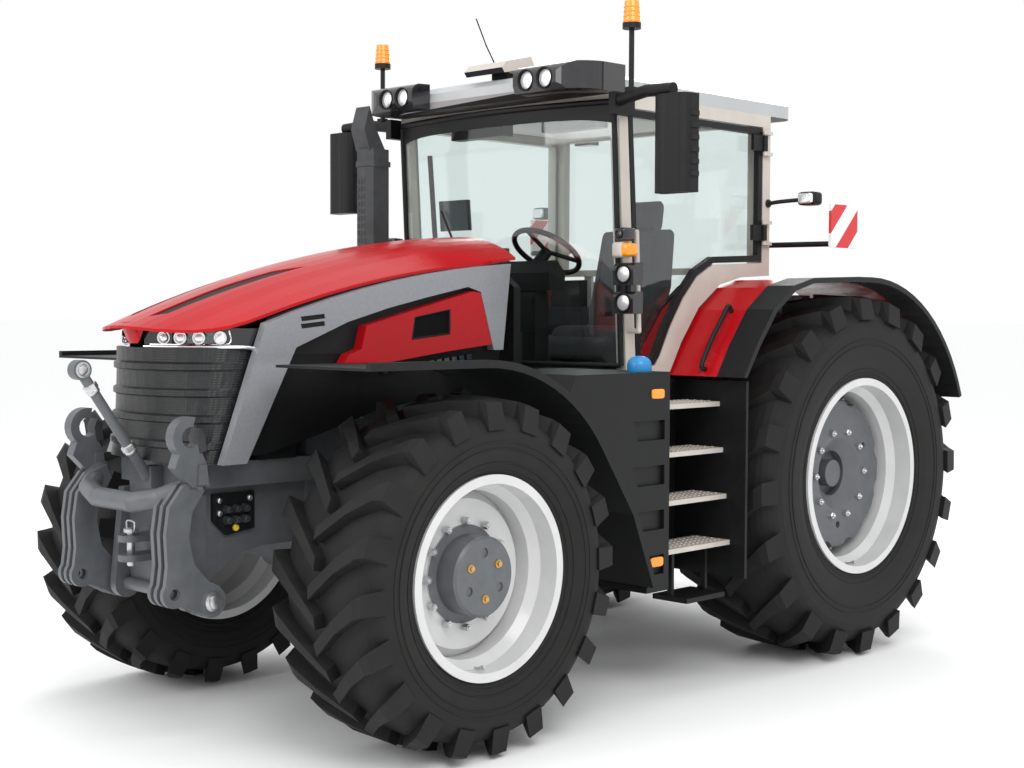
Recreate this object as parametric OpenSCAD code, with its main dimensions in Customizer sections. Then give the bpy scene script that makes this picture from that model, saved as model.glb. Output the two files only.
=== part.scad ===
// Farm tractor with a four-post cab, a front linkage and a rear three-point linkage.
// Millimetres, +X forward, +Y left, +Z up, standing on the ground plane at Z = 0.
// Every sub-part is laid out from the rear axle and then moved so that the origin lies
// under the middle of the machine.

/* [Wheels] */
// Distance between the rear and the front axle
wheelbase = 3050; // [2950:10:3150]
// Rear tyre diameter over the lugs
rear_tyre_d = 2130; // [2090:10:2150]
// Rear tyre section width
rear_tyre_w = 720; // [660:10:740]
// Rear rim diameter over the flanges
rear_rim_d = 1148; // [1120:2:1170]
// Rear rim width over the flanges
rear_rim_w = 640; // [580:10:660]
// Gap between the cab tub and the rear tyres
tub_gap = 60; // [45:1:80]
// Front tyre diameter over the lugs
front_tyre_d = 1640; // [1610:10:1650]
// Front tyre section width
front_tyre_w = 650; // [600:10:660]
// Front rim diameter over the flanges
front_rim_d = 938; // [910:2:960]
// Front rim width over the flanges
front_rim_w = 550; // [500:10:570]
// Distance between the front tyres' middle planes
front_track = 2050; // [2030:10:2080]
// Wall thickness of a rim
rim_wall = 14; // [10:1:18]

/* [Running gear] */
// Distance from a front tyre's middle plane in to its kingpin
kingpin_inset = 165; // [155:5:190]
// Kingpin housing radius at the ends of the front axle
kingpin_r = 70; // [60:1:76]
// Radius of the front wheel spindles
front_spindle_r = 60; // [50:1:70]
// Radius of the rear wheel spindles
rear_spindle_r = 75; // [60:1:85]
// Half width of the gearbox housing
gearbox_half_w = 240; // [200:5:260]
// Top of the gearbox housing
gearbox_top_z = 1380; // [1340:5:1400]
// Half width of the engine block
engine_half_w = 260; // [230:5:268]
// Running clearance between a turning piece and its seat
run_gap = 0.3; // [0.2:0.05:0.5]
// Free gap between a moving piece and its neighbour
free_gap = 8; // [6:1:12]

/* [Hood] */
// Radius of the hood's ridge line, seen from the side
hood_ridge_r = 6190; // [5900:10:6500]
// Height of the hood's highest point
hood_top_z = 2433; // [2420:1:2450]
// Half width of the hood's red top
hood_half_w = 450; // [440:2:460]
// Radius of the hood's crown, seen from the front
hood_crown_r = 800; // [700:10:900]
// Thickness of the hood's skin
hood_skin = 12; // [8:1:16]
// Reach of the hood's nose in front of the front axle
hood_nose_reach = 1108; // [1090:2:1120]
// Bottom of the grille
grille_bottom_z = 1330; // [1325:1:1345]
// Top of the grille
grille_top_z = 1850; // [1840:1:1855]

/* [Cab] */
// Half width of the cab over its side frames
cab_half_w = 860; // [850:2:870]
// Thickness of the cab's side frames
cab_side_t = 66; // [56:1:72]
// Top of the cab frame
cab_top_z = 3170; // [3150:5:3190]
// Bottom of the door sills
cab_sill_z = 1660; // [1650:5:1670]
// Foot of the front pillars
cab_front_x = 1610; // [1590:5:1620]
// Forward lean of the front pillars
pillar_lean = 80; // [60:5:90]
// Rear face of the rear pillars
cab_rear_x = 320; // [310:5:330]
// Bottom of the cab floor
cab_floor_z = 1450; // [1420:5:1460]
// Half width of the cab between the rear wheels
tub_half_w = 580; // [560:5:590]
// Window glass thickness
glass_t = 8; // [5:1:10]
// Height of the roof cap
roof_h = 215; // [200:5:230]
// Height of the tyre lugs over the tread
lug_h = 56; // [40:2:70]
// Lugs on each half of a tyre
lugs = 20; // [18:1:22]

/* [Fenders and tanks] */
// Width of the black flares on the rear fenders
flare_w = 180; // [150:5:200]
// Gap between rear tyre and fender at the top
rear_fender_gap = 90; // [70:5:110]
// Reach of the front fenders outside the tyres' middle planes
front_fender_out = 245; // [225:5:260]
// Reach of the front fenders inside the tyres' middle planes
front_fender_in = 405; // [385:5:425]
// Clearance from the front tyre to the outside of its fender
front_fender_gap = 138; // [120:2:160]
// Thickness of the moulded fenders
fender_t = 12; // [8:1:16]
// Setback of the tank's outer face from the front fender's edge
tank_setback = 50; // [40:5:70]
// Rear face of the fuel tank
tank_rear_x = 1690; // [1680:5:1700]

/* [Linkages] */
// Reach of the front top link in front of the front axle
front_reach = 1350; // [1340:2:1360]
// Reach of the rear lower links behind the rear axle
rear_reach = 1250; // [1230:5:1280]
// Rear lower link pivot behind the rear axle
link_pivot_x = 200; // [180:5:220]
// Height of the rear lower links
link_z = 650; // [620:5:680]
// Height of the rear lift arms
lift_arm_z = 1350; // [1330:5:1360]
// Length of the rear lift arms
lift_arm_len = 500; // [460:5:540]
// Height of the lift rod pins above the lower links
lift_lug_h = 85; // [80:1:100]
// Radius of the lift rod pins
lift_pin_r = 20; // [16:0.5:24]
// Half distance between the rear lower link eyes
link_eye_y = 500; // [480:5:520]
// Radius of the lower link eye bore
link_bore_r = 18.7; // [14:0.1:20]
// Reach of the front lift arm pivot in front of the front axle
front_pivot_reach = 912; // [900:2:920]
// Height of the front lift arm pivot
front_pivot_z = 720; // [700:5:740]
// Radius of the front lift arm pivot pins
front_pin_r = 30; // [24:1:34]
// Radius of the drawbar pin bore
drawbar_bore_r = 20; // [15:0.5:26]

/* [Hidden] */
$fn = 64;

front_x = wheelbase;
rear_x = -(front_x + front_reach - rear_reach) / 2;
rear_track = 2 * (tub_half_w + tub_gap) + rear_tyre_w;
kingpin_y = front_track / 2 - kingpin_inset;
rear_fender_y = rear_track / 2 + rear_tyre_w / 2;
front_fender_y = front_track / 2 + front_fender_out;
front_fender_inner_y = front_track / 2 - front_fender_in;
front_fender_r = front_tyre_d / 2 + front_fender_gap;
tank_y = front_fender_y - tank_setback;
rear_z = rear_tyre_d / 2;
front_z = front_tyre_d / 2;
seat_gap = 0.3;

engine_rear_x = 1900;
engine_front_x = front_x + 240;
engine_bottom_z = 960;
engine_top_z = 1860;
frame_front_x = front_x + 900;
frame_top_z = grille_bottom_z - 5;
frame_half_w = 250;
trunnion_z = front_z + 90;

hood_centre_x = 1760;
hood_centre_z = hood_top_z - hood_ridge_r;
hood_rear_x = 2010;
hood_nose_x = front_x + hood_nose_reach;
hood_side_y = hood_half_w - 10;
hinge_y = 150;
hinge_x = hood_rear_x + 40;
hinge_z = hood_under_z(hinge_x, hinge_y) - 32;
hinge_pin_r = 12;
slot_depth = 6;
slot_clear = 40;
lug_side = 10;

side_in_y = cab_half_w - cab_side_t;
roof_front_x = 1885;
roof_rear_x = 60;
roof_brow = [roof_front_x - 75, cab_top_z + 128];
roof_crown = [roof_front_x - 330, cab_top_z + roof_h - 28];
roof_corner = 330;
arm_x = cab_front_x + pillar_lean + 40;
beacon_y = 980;
beacon_foot_z = 3182;
door_axis_x = cab_rear_x + 80;
door_axis_y = cab_half_w + 20;
door_pin_r = 8;
hinge_h = 90;
hinge_zs = [2440, 2960];

lift_rod_y = gearbox_half_w + 202;
fender_top_z = 2225;
flare_in_y = rear_fender_y - flare_w;
tank_in_y = 480;
tank_bottom_z = 590;
tank_top_z = 1715;
step_x0 = 1235;
step_x1 = 1560;
panel_x = 1120;
tub_step_x = 1265;

BODY_RED = [0.72, 0.04, 0.04];
BLACK = [0.08, 0.08, 0.09];
SILVER = [0.62, 0.63, 0.65];
CAST_GREY = [0.33, 0.34, 0.36];
BEIGE = [0.80, 0.77, 0.71];
ROOF_GREY = [0.78, 0.80, 0.80];
RIM_WHITE = [0.86, 0.86, 0.86];
GLASS = [0.70, 0.82, 0.80, 0.35];

// Height of the hood's ridge line at x
function hood_ridge_z(x) = hood_centre_z + sqrt(pow(hood_ridge_r, 2) - pow(x - hood_centre_x, 2));

// Height of the hood skin's underside at x and y
function hood_under_z(x, y) = let (r = hood_ridge_r - hood_crown_r + sqrt(pow(hood_crown_r - hood_skin,
  2) - y * y))
  hood_centre_z + sqrt(r * r - pow(x - hood_centre_x, 2));

// Line that follows the hood skin's underside at y, from x0 to x1
function under_line(y, x0, x1, n) = [for (i = [0:n]) let (x = x0 + (x1 - x0) * i / n) [x, hood_under_z(x,
  y) - 2 * seat_gap]];

// Points on an arc in a plane
function arc(cx, cy, r, a0, a1, n) =
  [for (i = [0:n]) [cx + r * cos(a0 + (a1 - a0) * i / n), cy + r * sin(a0 + (a1 - a0) * i / n)]];

// Points reversed
function back(p) = [for (i = [len(p) - 1:-1:0]) p[i]];

// Places a sub-part that is laid out from the rear axle
module place() {
  translate([rear_x, 0, 0]) children();
}

// Left piece and its mirror image on the right
module both_sides() {
  children();
  mirror([0, 1, 0]) children();
}

// Plate whose outline is seen from the side, between y0 and y0 + t
module side_plate(y0, t) {
  translate([0, y0 + t, 0]) rotate([90, 0, 0]) linear_extrude(t) children();
}

// Piece whose outline is seen from the front, between x0 and x0 + t
module cross_plate(x0, t) {
  translate([x0, 0, 0]) rotate([90, 0, 90]) linear_extrude(t) children();
}

// Box given by its low and high corners
module block(low, high) {
  translate(low) cube(high - low);
}

// Round bar between two points
module rod(a, b, r) {
  v = b - a;
  translate(a) rotate([0, acos(v.z / norm(v)), atan2(v.y, v.x)]) cylinder(h = norm(v), r = r);
}

// Bent round bar through a list of points
module bent_rod(points, r) {
  for (i = [0:len(points) - 2]) rod(points[i], points[i + 1], r);
  for (i = [1:len(points) - 2]) translate(points[i]) sphere(r + 0.5);
}

// Round bar along Y through (x, z)
module y_bar(x, z, y0, y1, r) {
  translate([x, y1, z]) rotate([90, 0, 0]) cylinder(h = y1 - y0, r = r);
}

// Wheel position: local Z points outwards along the axle
module wheel_place(x, track, z) {
  translate([x, track / 2, z]) rotate([-90, 0, 0]) children();
}

// Tyre outline as [radius, offset] from one bead over the crown to the other
function tyre_profile(r_out, half_w, r_bead, r_flange, half_bead) =
  let (r_mid = r_bead + 0.55 * (r_out - r_bead), n = 10, sq = 0.62)
  let (wall = concat([[r_bead, half_bead]], [for (i = [0:4])
      let (t = i / 4) [r_flange + (r_mid - r_flange) * t,
        half_bead + (half_w - half_bead) * (1 - pow(1 - t, 2))]]))
  let (crown = [for (i = [1:2 * n - 1])
      let (a = 90 * i / n)
      [r_mid + (r_out - r_mid) * pow(sin(a), sq), half_w * sign(cos(a)) * pow(abs(cos(a)), sq)]])
  concat(wall, crown, [for (p = back(wall)) [p[0], -p[1]]]);

// Radius of the tyre body at offset u from its middle plane
function body_r(u, r_out, half_w, r_bead) =
  let (r_mid = r_bead + 0.55 * (r_out - r_bead), sq = 0.62)
  r_mid + (r_out - r_mid) * pow(1 - pow(min(1, abs(u) / half_w), 2 / sq), sq / 2);

// Four corners of a lug's cross-section: flat top at r_top, foot sunk to r_low, at angle a
function lug_station(a, half_t, r_top, u_top, r_low, u_low) =
  let (da = atan(half_t / r_top), db = atan(1.15 * half_t / r_low), r_edge = r_top / cos(da))
  [[r_edge * cos(a + da), r_edge * sin(a + da), u_top], [r_edge * cos(a - da), r_edge * sin(a - da), u_top],
    [r_low * cos(a - db), r_low * sin(a - db), u_low], [r_low * cos(a + db), r_low * sin(a + db), u_low]];

// One swept lug from the middle of the tread to the shoulder
module lug(r, half_w, r_body, half_body, r_bead) {
  pitch = 360 / lugs;
  pitch_len = 2 * PI * r / lugs;
  sunk = 22;
  u1 = 0.42 * half_w;
  u2 = 0.80 * half_w;
  points = concat(
    lug_station(0, 0.115 * pitch_len, r, -0.05 * half_w, r_body - sunk, -0.05 * half_w),
    lug_station(-0.50 * pitch, 0.125 * pitch_len, r - 4, u1, body_r(u1, r_body, half_body,
      r_bead) - sunk, u1),
    lug_station(-0.84 * pitch, 0.155 * pitch_len, r - 12, u2, body_r(u2, r_body, half_body,
      r_bead) - 2 * sunk, u2),
    lug_station(-0.92 * pitch, 0.180 * pitch_len, r - 26, 0.93 * half_w, r - 145, half_w - 2));
  sides = [for (i = [0:2]) for (k = [0:3])
    let (a = 4 * i + k, b = 4 * i + (k + 1) % 4) [[b, b + 4, a + 4], [b, a + 4, a]]];
  polyhedron(points = points, faces = concat([[3, 2, 1], [3, 1, 0], [12, 13, 14], [12, 14, 15]],
    [for (f = sides) f[0]], [for (f = sides) f[1]]));
}

module tyre(d, w, rim_d, rim_w) {
  bead_r = rim_d / 2 - 2 * rim_wall;
  bead_half = rim_w / 2 - rim_wall;
  wall = 45;
  r_body = d / 2 - lug_h;
  half_body = w / 2 - lug_side;
  color(BLACK) {
    rotate_extrude($fn = 96) polygon(concat(
      tyre_profile(r_body, half_body, bead_r, rim_d / 2 + seat_gap, bead_half),
      back(tyre_profile(r_body - wall, half_body - wall, bead_r, rim_d / 2 + seat_gap, bead_half - wall))));
    for (i = [0:lugs - 1]) {
      rotate(90 + 360 * i / lugs) lug(d / 2, w / 2, r_body, half_body, bead_r);
      rotate(90 + 360 * (i + 0.5) / lugs) mirror([0, 0, 1]) lug(d / 2, w / 2, r_body, half_body, bead_r);
    }
  }
}

// Rim barrel with flanges and drop centre, as a turned ring
module rim_barrel(rim_d, rim_w) {
  r_flange = rim_d / 2;
  r_seat = r_flange - 2 * rim_wall;
  r_well = r_seat - 40;
  h = rim_w / 2;
  rotate_extrude($fn = 96) polygon([
    [r_flange, h], [r_flange, h - rim_wall], [r_seat, h - rim_wall], [r_seat, h - 110],
    [r_well, h - 150], [r_well, 150 - h], [r_seat, 110 - h], [r_seat, rim_wall - h],
    [r_flange, rim_wall - h], [r_flange, -h], [r_seat - rim_wall, -h],
    [r_seat - rim_wall, 106 - h], [r_well - rim_wall, 146 - h], [r_well - rim_wall, h - 146],
    [r_seat - rim_wall, h - 106], [r_seat - rim_wall, h]]);
}

// Front wheel: deep white dish and a planetary hub with a round cover
module front_wheel() {
  r_well = front_rim_d / 2 - 2 * rim_wall - 40;
  disc_u = 85;
  hub_r = 185;
  hub_u0 = kingpin_y + kingpin_r + 90 - front_track / 2;
  hub_u1 = 225;
  color(RIM_WHITE) {
    rim_barrel(front_rim_d, front_rim_w);
    difference() {
      rotate_extrude($fn = 96) polygon([
        [hub_r + 40, disc_u - 20], [r_well - 60, disc_u - 20], [r_well - rim_wall + 2, disc_u - 70],
        [r_well - rim_wall + 2, disc_u - 52], [r_well - 56, disc_u], [hub_r + 40, disc_u]]);
    }
  }
  color(CAST_GREY) difference() {
    rotate_extrude($fn = 96) polygon([
      [0, hub_u0], [hub_r - 25, hub_u0], [hub_r + 20, disc_u - 60], [hub_r + 42, disc_u - 40],
      [hub_r + 42, disc_u + 8], [hub_r, disc_u + 20], [hub_r, hub_u1 - 12], [hub_r - 12, hub_u1], [0,
        hub_u1]]);
    translate([0, 0, hub_u0 - 1]) cylinder(r = front_spindle_r + run_gap, h = 101);
    for (a = [0:120:240]) rotate(a + 30) translate([hub_r * 0.6, 0, hub_u1 - 8]) cylinder(r = 22, h = 20);
  }
}

// Rear wheel: white rim, cast disc with a scalloped edge and a sunk hub
module rear_wheel() {
  r_well = rear_rim_d / 2 - 2 * rim_wall - 40;
  web_u = 20;
  web_t = 26;
  face_u = 150;
  disc_r = 440;
  scallop_r = 75;
  scallops = 12;
  bowl_r = 215;
  hole_r = 135;
  stub_r = 80;
  hub_u0 = 560 + free_gap - rear_track / 2;
  color(RIM_WHITE) rim_barrel(rear_rim_d, rear_rim_w);
  color(CAST_GREY) difference() {
    rotate_extrude($fn = 96) polygon([
      [0, hub_u0], [190, hub_u0], [200, web_u], [r_well - rim_wall + 2, web_u], [r_well - rim_wall + 2,
        web_u + web_t],
      [disc_r, web_u + web_t], [disc_r, face_u - 12], [disc_r - 12, face_u], [bowl_r, face_u],
      [hole_r, face_u - 55], [hole_r, face_u - 110], [stub_r, face_u - 110], [stub_r, face_u - 40], [0,
        face_u - 30]]);
    translate([0, 0, hub_u0 - 1]) cylinder(r = rear_spindle_r + run_gap, h = 201);
    for (i = [0:scallops - 1]) rotate(360 * (i + 0.5) / scallops) translate([disc_r + 45, 0, web_u + web_t])
      cylinder(r = scallop_r, h = face_u);
    for (a = [90:120:330]) rotate(a) translate([305, 0, face_u - 40]) cylinder(r = 20, h = 60);
    for (a = [0:36:324]) rotate(a) translate([255, 0, face_u - 10]) cylinder(r = 13, h = 40);
  }
}

module front_left_tyre() {
  place() wheel_place(front_x, front_track, front_z) tyre(front_tyre_d, front_tyre_w, front_rim_d,
    front_rim_w);
}

module front_right_tyre() {
  mirror([0, 1, 0]) front_left_tyre();
}

module rear_left_tyre() {
  place() wheel_place(0, rear_track, rear_z) tyre(rear_tyre_d, rear_tyre_w, rear_rim_d, rear_rim_w);
}

module rear_right_tyre() {
  mirror([0, 1, 0]) rear_left_tyre();
}

module front_left_wheel() {
  place() wheel_place(front_x, front_track, front_z) front_wheel();
}

module front_right_wheel() {
  mirror([0, 1, 0]) front_left_wheel();
}

module rear_left_wheel() {
  place() wheel_place(0, rear_track, rear_z) rear_wheel();
}

module rear_right_wheel() {
  mirror([0, 1, 0]) rear_left_wheel();
}

// Gearbox and rear axle casting with the trumpet housings and the wheel spindles
module rear_transaxle() {
  trumpet_r = 185;
  trumpet_y = 560;
  color(CAST_GREY) place() {
    side_plate(-gearbox_half_w, 2 * gearbox_half_w) polygon([
      [-380, 780], [-330, 740], [330, 700], [1200, 760], [engine_rear_x, 800],
      [engine_rear_x, 1300], [1250, 1300], [1150, gearbox_top_z], [-300, gearbox_top_z], [-380, 1300]]);
    both_sides() {
      block([tank_rear_x + 60, gearbox_half_w - 5, 900], [tank_rear_x + 140, tank_in_y, 980]);
      y_bar(0, rear_z, gearbox_half_w - 5, trumpet_y, trumpet_r);
      y_bar(0, rear_z, trumpet_y - 5, trumpet_y + 190, rear_spindle_r);
      y_bar(0, rear_z, trumpet_y - 60, trumpet_y, trumpet_r + 30);
    }
  }
}

// Engine as one plain block with its sump
module engine_block() {
  color(CAST_GREY) place() {
    block([engine_rear_x, -engine_half_w, engine_bottom_z], [engine_front_x, engine_half_w, engine_top_z]);
    block([engine_rear_x, -190, 740], [front_x - 330, 190, engine_bottom_z + 1]);
  }
}

// Cast front frame that carries the axle, the cooling pack and the front linkage
module front_frame() {
  color(CAST_GREY) place() difference() {
    union() {
      side_plate(-frame_half_w, 2 * frame_half_w) polygon([
        [engine_front_x, trunnion_z], [engine_front_x + 260, trunnion_z], [frame_front_x - 260, 880],
        [frame_front_x, 700], [frame_front_x, frame_top_z], [engine_front_x, frame_top_z]]);
      side_plate(-320, 640) polygon([[engine_front_x, 1210], [frame_front_x, 1210],
        [frame_front_x, frame_top_z], [engine_front_x, frame_top_z]]);
      block([front_x - 150, -150, trunnion_z], [engine_front_x + 10, 150, engine_bottom_z]);
      both_sides() side_plate(frame_half_w - 1, 46) polygon(concat(
        arc(front_x + front_pivot_reach, front_pivot_z, 70, 180, 360, 12),
        [[frame_front_x + 32, 1180], [frame_front_x - 60, 1180]]));
    }
    y_bar(front_x + front_pivot_reach, front_pivot_z, -400, 400, front_pin_r + run_gap);
  }
}

// Tow clevis bolted to the front of the frame
module tow_clevis() {
  x = frame_front_x;
  color(CAST_GREY) place() difference() {
    union() {
      block([x, -75, 850], [x + 26, 75, 1010]);
      for (z = [870, 960]) {
        block([x + 25, -60, z], [x + 150, 60, z + 30]);
        translate([x + 150, 0, z]) cylinder(r = 60, h = 30);
      }
    }
    translate([x + 150, 0, 850]) cylinder(r = drawbar_bore_r, h = 160);
  }
}

// Front axle beam with its differential housing and kingpin housings
module front_axle() {
  color(CAST_GREY) place() {
    block([front_x - 140, -145, front_z - 110], [front_x + 140, 145, trunnion_z]);
    y_bar(front_x, front_z - 20, -300, 300, 105);
    both_sides() {
      side_plate(140, kingpin_y - 140) polygon([[front_x - 62, front_z - 70], [front_x + 62, front_z - 70],
        [front_x + 62, front_z + 70], [front_x - 62, front_z + 70]]);
      translate([front_x, kingpin_y, front_z - 130]) cylinder(r = kingpin_r, h = 260);
    }
  }
}

// Steering knuckle: two ears on the kingpin housing, a web and the wheel spindle
module knuckle() {
  ear_z = 130 + seat_gap;
  ear_t = 50;
  web_y = kingpin_y + kingpin_r + free_gap;
  color(CAST_GREY) place() {
    for (s = [-1, 1]) translate([front_x, 0, front_z + s * (ear_z + ear_t / 2)]) {
      translate([0, kingpin_y, -ear_t / 2]) cylinder(r = kingpin_r, h = ear_t);
      block([-kingpin_r, kingpin_y, -ear_t / 2], [kingpin_r, web_y + 60, ear_t / 2]);
    }
    block([front_x - kingpin_r - 20, web_y, front_z - ear_z - ear_t],
      [front_x + kingpin_r + 20, web_y + 70, front_z + ear_z + ear_t]);
    y_bar(front_x, front_z, web_y + 60, kingpin_y + kingpin_r + 180, front_spindle_r);
  }
}

module front_left_knuckle() {
  knuckle();
}

module front_right_knuckle() {
  mirror([0, 1, 0]) knuckle();
}

// Cooling pack behind the grille
module radiator() {
  color(BLACK) place() {
    block([engine_front_x + 120, -340, frame_top_z], [engine_front_x + 330, 340, 1840]);
    block([engine_front_x, -220, 1400], [engine_front_x + 121, 220, 1780]);
  }
}

// Side outline of the hood's silver band and its slanted front leg
function band_outline() = let (x = front_x)
  concat(under_line(hood_half_w, hood_rear_x + 100, x + 640, 8), [[x + 880, grille_bottom_z], [x + 750,
    grille_bottom_z], [x + 470, 1850], [x + 160, 1968], [x - 90, 2034],
   [2700, 2090], [2420, 2145], [2330, 2120], [2235, 1820], [2165, 1820]]);

// Hood's red top: a crowned skin turned about a far axis and cut to the nose outline
module hood_top() {
  n = 10;
  sweep = asin((hood_nose_x - hood_centre_x) / hood_ridge_r);
  start = asin((hood_rear_x - hood_centre_x) / hood_ridge_r);
  half = asin(hood_half_w / hood_crown_r);
  crown_c = hood_ridge_r - hood_crown_r;
  nose = [for (i = [0:n]) let (a = 90 * i / n)
    [hood_nose_x - 520 + 520 * pow(sin(a), 0.8), (hood_half_w - 20) * pow(cos(a), 0.9)]];
  outline = concat([[hood_rear_x, hood_half_w - 30], [2300, hood_half_w]], nose);
  mirrored = [for (p = back(outline)) if (p[1] > 1) [p[0], -p[1]]];
  color(BODY_RED) place() {
    both_sides() difference() {
      union() {
        y_bar(hinge_x, hinge_z, hinge_y - 20, hinge_y + 20, 24);
        block([hinge_x - 20, hinge_y - 20, hinge_z], [hinge_x + 20, hinge_y + 20, hood_under_z(hinge_x,
          hinge_y) + 6]);
      }
      y_bar(hinge_x, hinge_z, 0, 2 * hinge_y, hinge_pin_r + run_gap);
    }
    difference() {
      intersection() {
        crown_shell(crown_c, half + 3, hood_skin, sweep - start + 2, sweep + 1);
        translate([0, 0, 1500]) linear_extrude(1500) polygon(concat(outline, mirrored));
      }
      intersection() {
        crown_shell(crown_c, half, slot_clear + slot_depth, sweep - start + 2, sweep + 1, slot_clear);
        both_sides() translate([0, 0, 1500]) linear_extrude(1500) polygon([[hood_nose_x - 110, 75],
          [hood_nose_x - 170, 140], [hood_nose_x - 370, 152], [hood_nose_x - 940, 180],
            [hood_nose_x - 780, 108],
          [hood_nose_x - 520, 82]]);
      }
    }
  }
}

// Part of the hood's crown: a layer of that thickness below radius hood_crown_r + rise
module crown_shell(crown_c, half, t, turn, from, rise = 0) {
  translate([hood_centre_x, 0, hood_centre_z]) rotate([90, 0, 0]) rotate([0, 0, 90 - from])
    rotate_extrude(angle = turn, $fn = 240) polygon(concat(
      arc(crown_c, 0, hood_crown_r + rise, -half, half, 16), arc(crown_c, 0, hood_crown_r + rise - t,
        half, -half, 16)));
}

// Silver bands along both sides of the hood
module hood_bands() {
  color(SILVER) place() both_sides() difference() {
    side_plate(hood_side_y + seat_gap, 45) polygon(band_outline());
    for (d = [0, 34]) side_plate(hood_side_y + 38, 20) polygon([[front_x + 445, 1992 - d],
      [front_x + 305, 2006 - d],
      [front_x + 300, 1984 - d], [front_x + 438, 1970 - d]]);
  }
}

// Black side panels that lean inwards to the waist, and the inner edge that carries the top
module hood_sides() {
  lean = 8;
  t = 20;
  color(BLACK) place() both_sides() {
    side_plate(hood_side_y - t, t) polygon(concat(
      under_line(hood_side_y, hood_rear_x + 130, front_x + 600, 8), [[front_x + 600, 1815],
        [hood_rear_x + 130, 1815]]));
    translate([0, hood_side_y - 4, 1815]) rotate([-lean, 0, 0]) translate([0, 0, -1815]) side_plate(-t,
      t) polygon([
      [2140, 1640], [front_x - 100, 1530], [front_x + 280, 1420], [front_x + 560, 1350], [front_x + 740,
        1340],
      [front_x + 596, 1830], [2144, 1830]]);
  }
}

// Red rear side panels with their mesh vents
module vent_panels() {
  color(BODY_RED) place() both_sides() difference() {
    side_plate(hood_side_y + seat_gap, 60) polygon([[2262, 1850], [2545, 1822], [front_x - 10, 1762],
      [front_x + 205, 1762], [front_x + 170, 1812], [front_x + 90, 1838], [front_x + 60, 1950], [2700, 2050],
      [2400, 2122], [2346, 2114]]);
    side_plate(hood_side_y + 42, 40) polygon([[2560, 1905], [2820, 1880], [2800, 1990], [2560, 2030]]);
  }
}

// Closed sheet between two grids of points, outer and inner, each a list of rows
module thick_sheet(outer, inner) {
  rows = len(outer);
  cols = len(outer[0]);
  n = rows * cols;
  points = concat([for (r = outer) each r], [for (r = inner) each r]);
  function quad(a, b, c, d) = [[a, b, c], [a, c, d]];
  grid = [for (i = [0:rows - 2], j = [0:cols - 2]) each quad(i * cols + j, i * cols + j + 1,
    (i + 1) * cols + j + 1, (i + 1) * cols + j)];
  under = [for (f = grid) [f[2] + n, f[1] + n, f[0] + n]];
  ends = [for (j = [0:cols - 2]) each concat(quad(j + n, j + 1 + n, j + 1, j),
    let (k = (rows - 1) * cols + j) quad(k, k + 1, k + 1 + n, k + n))];
  sides = [for (i = [0:rows - 2]) each concat(let (k = i * cols) quad(k, k + cols, k + cols + n, k + n),
    let (k = (i + 1) * cols - 1) quad(k + n, k + cols + n, k + cols, k))];
  polyhedron(points, concat(grid, under, ends, sides));
}

// Point of the grille's wedge at angle a across and height z, pushed out by off
function grille_point(a, z, off, half_w) =
  let (t = (z - grille_bottom_z) / (grille_top_z - grille_bottom_z))
  let (x_side = front_x + 860 - 210 * t, x_mid = front_x + 985 + 45 * t)
  [x_side + off + (x_mid - x_side) * pow(cos(a), 0.85), half_w * sin(a), z];

// Front grille: a wedge-shaped wall with horizontal ribs
module grille() {
  half_w = hood_side_y - 21;
  wall = 40;
  rib = 16;
  pitch = 118;
  levels = concat([[grille_bottom_z, 0]], [for (i = [0:3]) let (z = grille_bottom_z + 60 + i * pitch)
    each [[z, 0], [z + 8, rib], [z + 34, rib], [z + 42, 0]]], [[grille_top_z, 0]]);
  angles = [for (i = [-10:10]) 9 * i];
  outer = [for (l = levels) [for (a = angles) grille_point(a, l[0], l[1], half_w)]];
  inner = [for (l = levels) [for (a = angles) grille_point(a, l[0], -wall, half_w - wall / 2)]];
  color(BLACK) place() thick_sheet(outer, inner);
}

// Angular headlamps under the nose of the hood
module headlamps() {
  bottom_z = grille_top_z + seat_gap;
  color(BLACK) place() both_sides() difference() {
    translate([0, 0, bottom_z]) linear_extrude(88) polygon([[front_x + 610, hood_side_y], [front_x + 760,
      415],
      [front_x + 930, 250], [front_x + 1010, 60], [front_x + 860, 60], [front_x + 760, 250],
        [front_x + 610, 330]]);
    translate([0, 0, bottom_z + 20]) linear_extrude(50) polygon([[front_x + 800, 392], [front_x + 932, 254],
      [front_x + 990, 90], [front_x + 950, 90], [front_x + 900, 240], [front_x + 780, 360]]);
  }
}

// Dark cowl that closes the rear of the engine bay and carries the hood's hinges
module cowl() {
  plate_x = engine_rear_x + 50;
  color(BLACK) place() {
    cross_plate(plate_x, 50) polygon([[-400, 1660], [-engine_half_w - 1, 1660], [-engine_half_w - 1,
      engine_top_z],
      [engine_half_w + 1, engine_top_z], [engine_half_w + 1, 1660], [400, 1660], [400, 2150], [250, 2260],
      [-250, 2260], [-400, 2150]]);
    block([1790, -engine_half_w, 1300], [engine_rear_x, engine_half_w, 1900]);
    block([1790, -engine_half_w, engine_top_z], [plate_x + 1, engine_half_w, 1900]);
    both_sides() {
      y_bar(hinge_x, hinge_z, hinge_y - 45, hinge_y + 45, hinge_pin_r);
      for (y = [hinge_y - 45, hinge_y + 25]) side_plate(y, 20) polygon([[plate_x + 49, 2200],
        [hinge_x + 15, hinge_z - 14],
        [hinge_x + 15, hinge_z + 14], [hinge_x - 2, hinge_z + 14], [hinge_x - 26, hinge_z - 12],
          [plate_x + 20, 2250], [plate_x + 20, 2200]]);
    }
  }
}

// Outer edge line of the front fender over the wheel, from front to rear
function fender_line(r) = concat([[front_x + 690, front_z + r]], arc(front_x, front_z, r, 90, 145, 12),
  [[front_x - 1029 - (r - front_fender_r), front_z + 192], [front_x - 1190 - (r - front_fender_r),
    front_z - 194]]);

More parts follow.
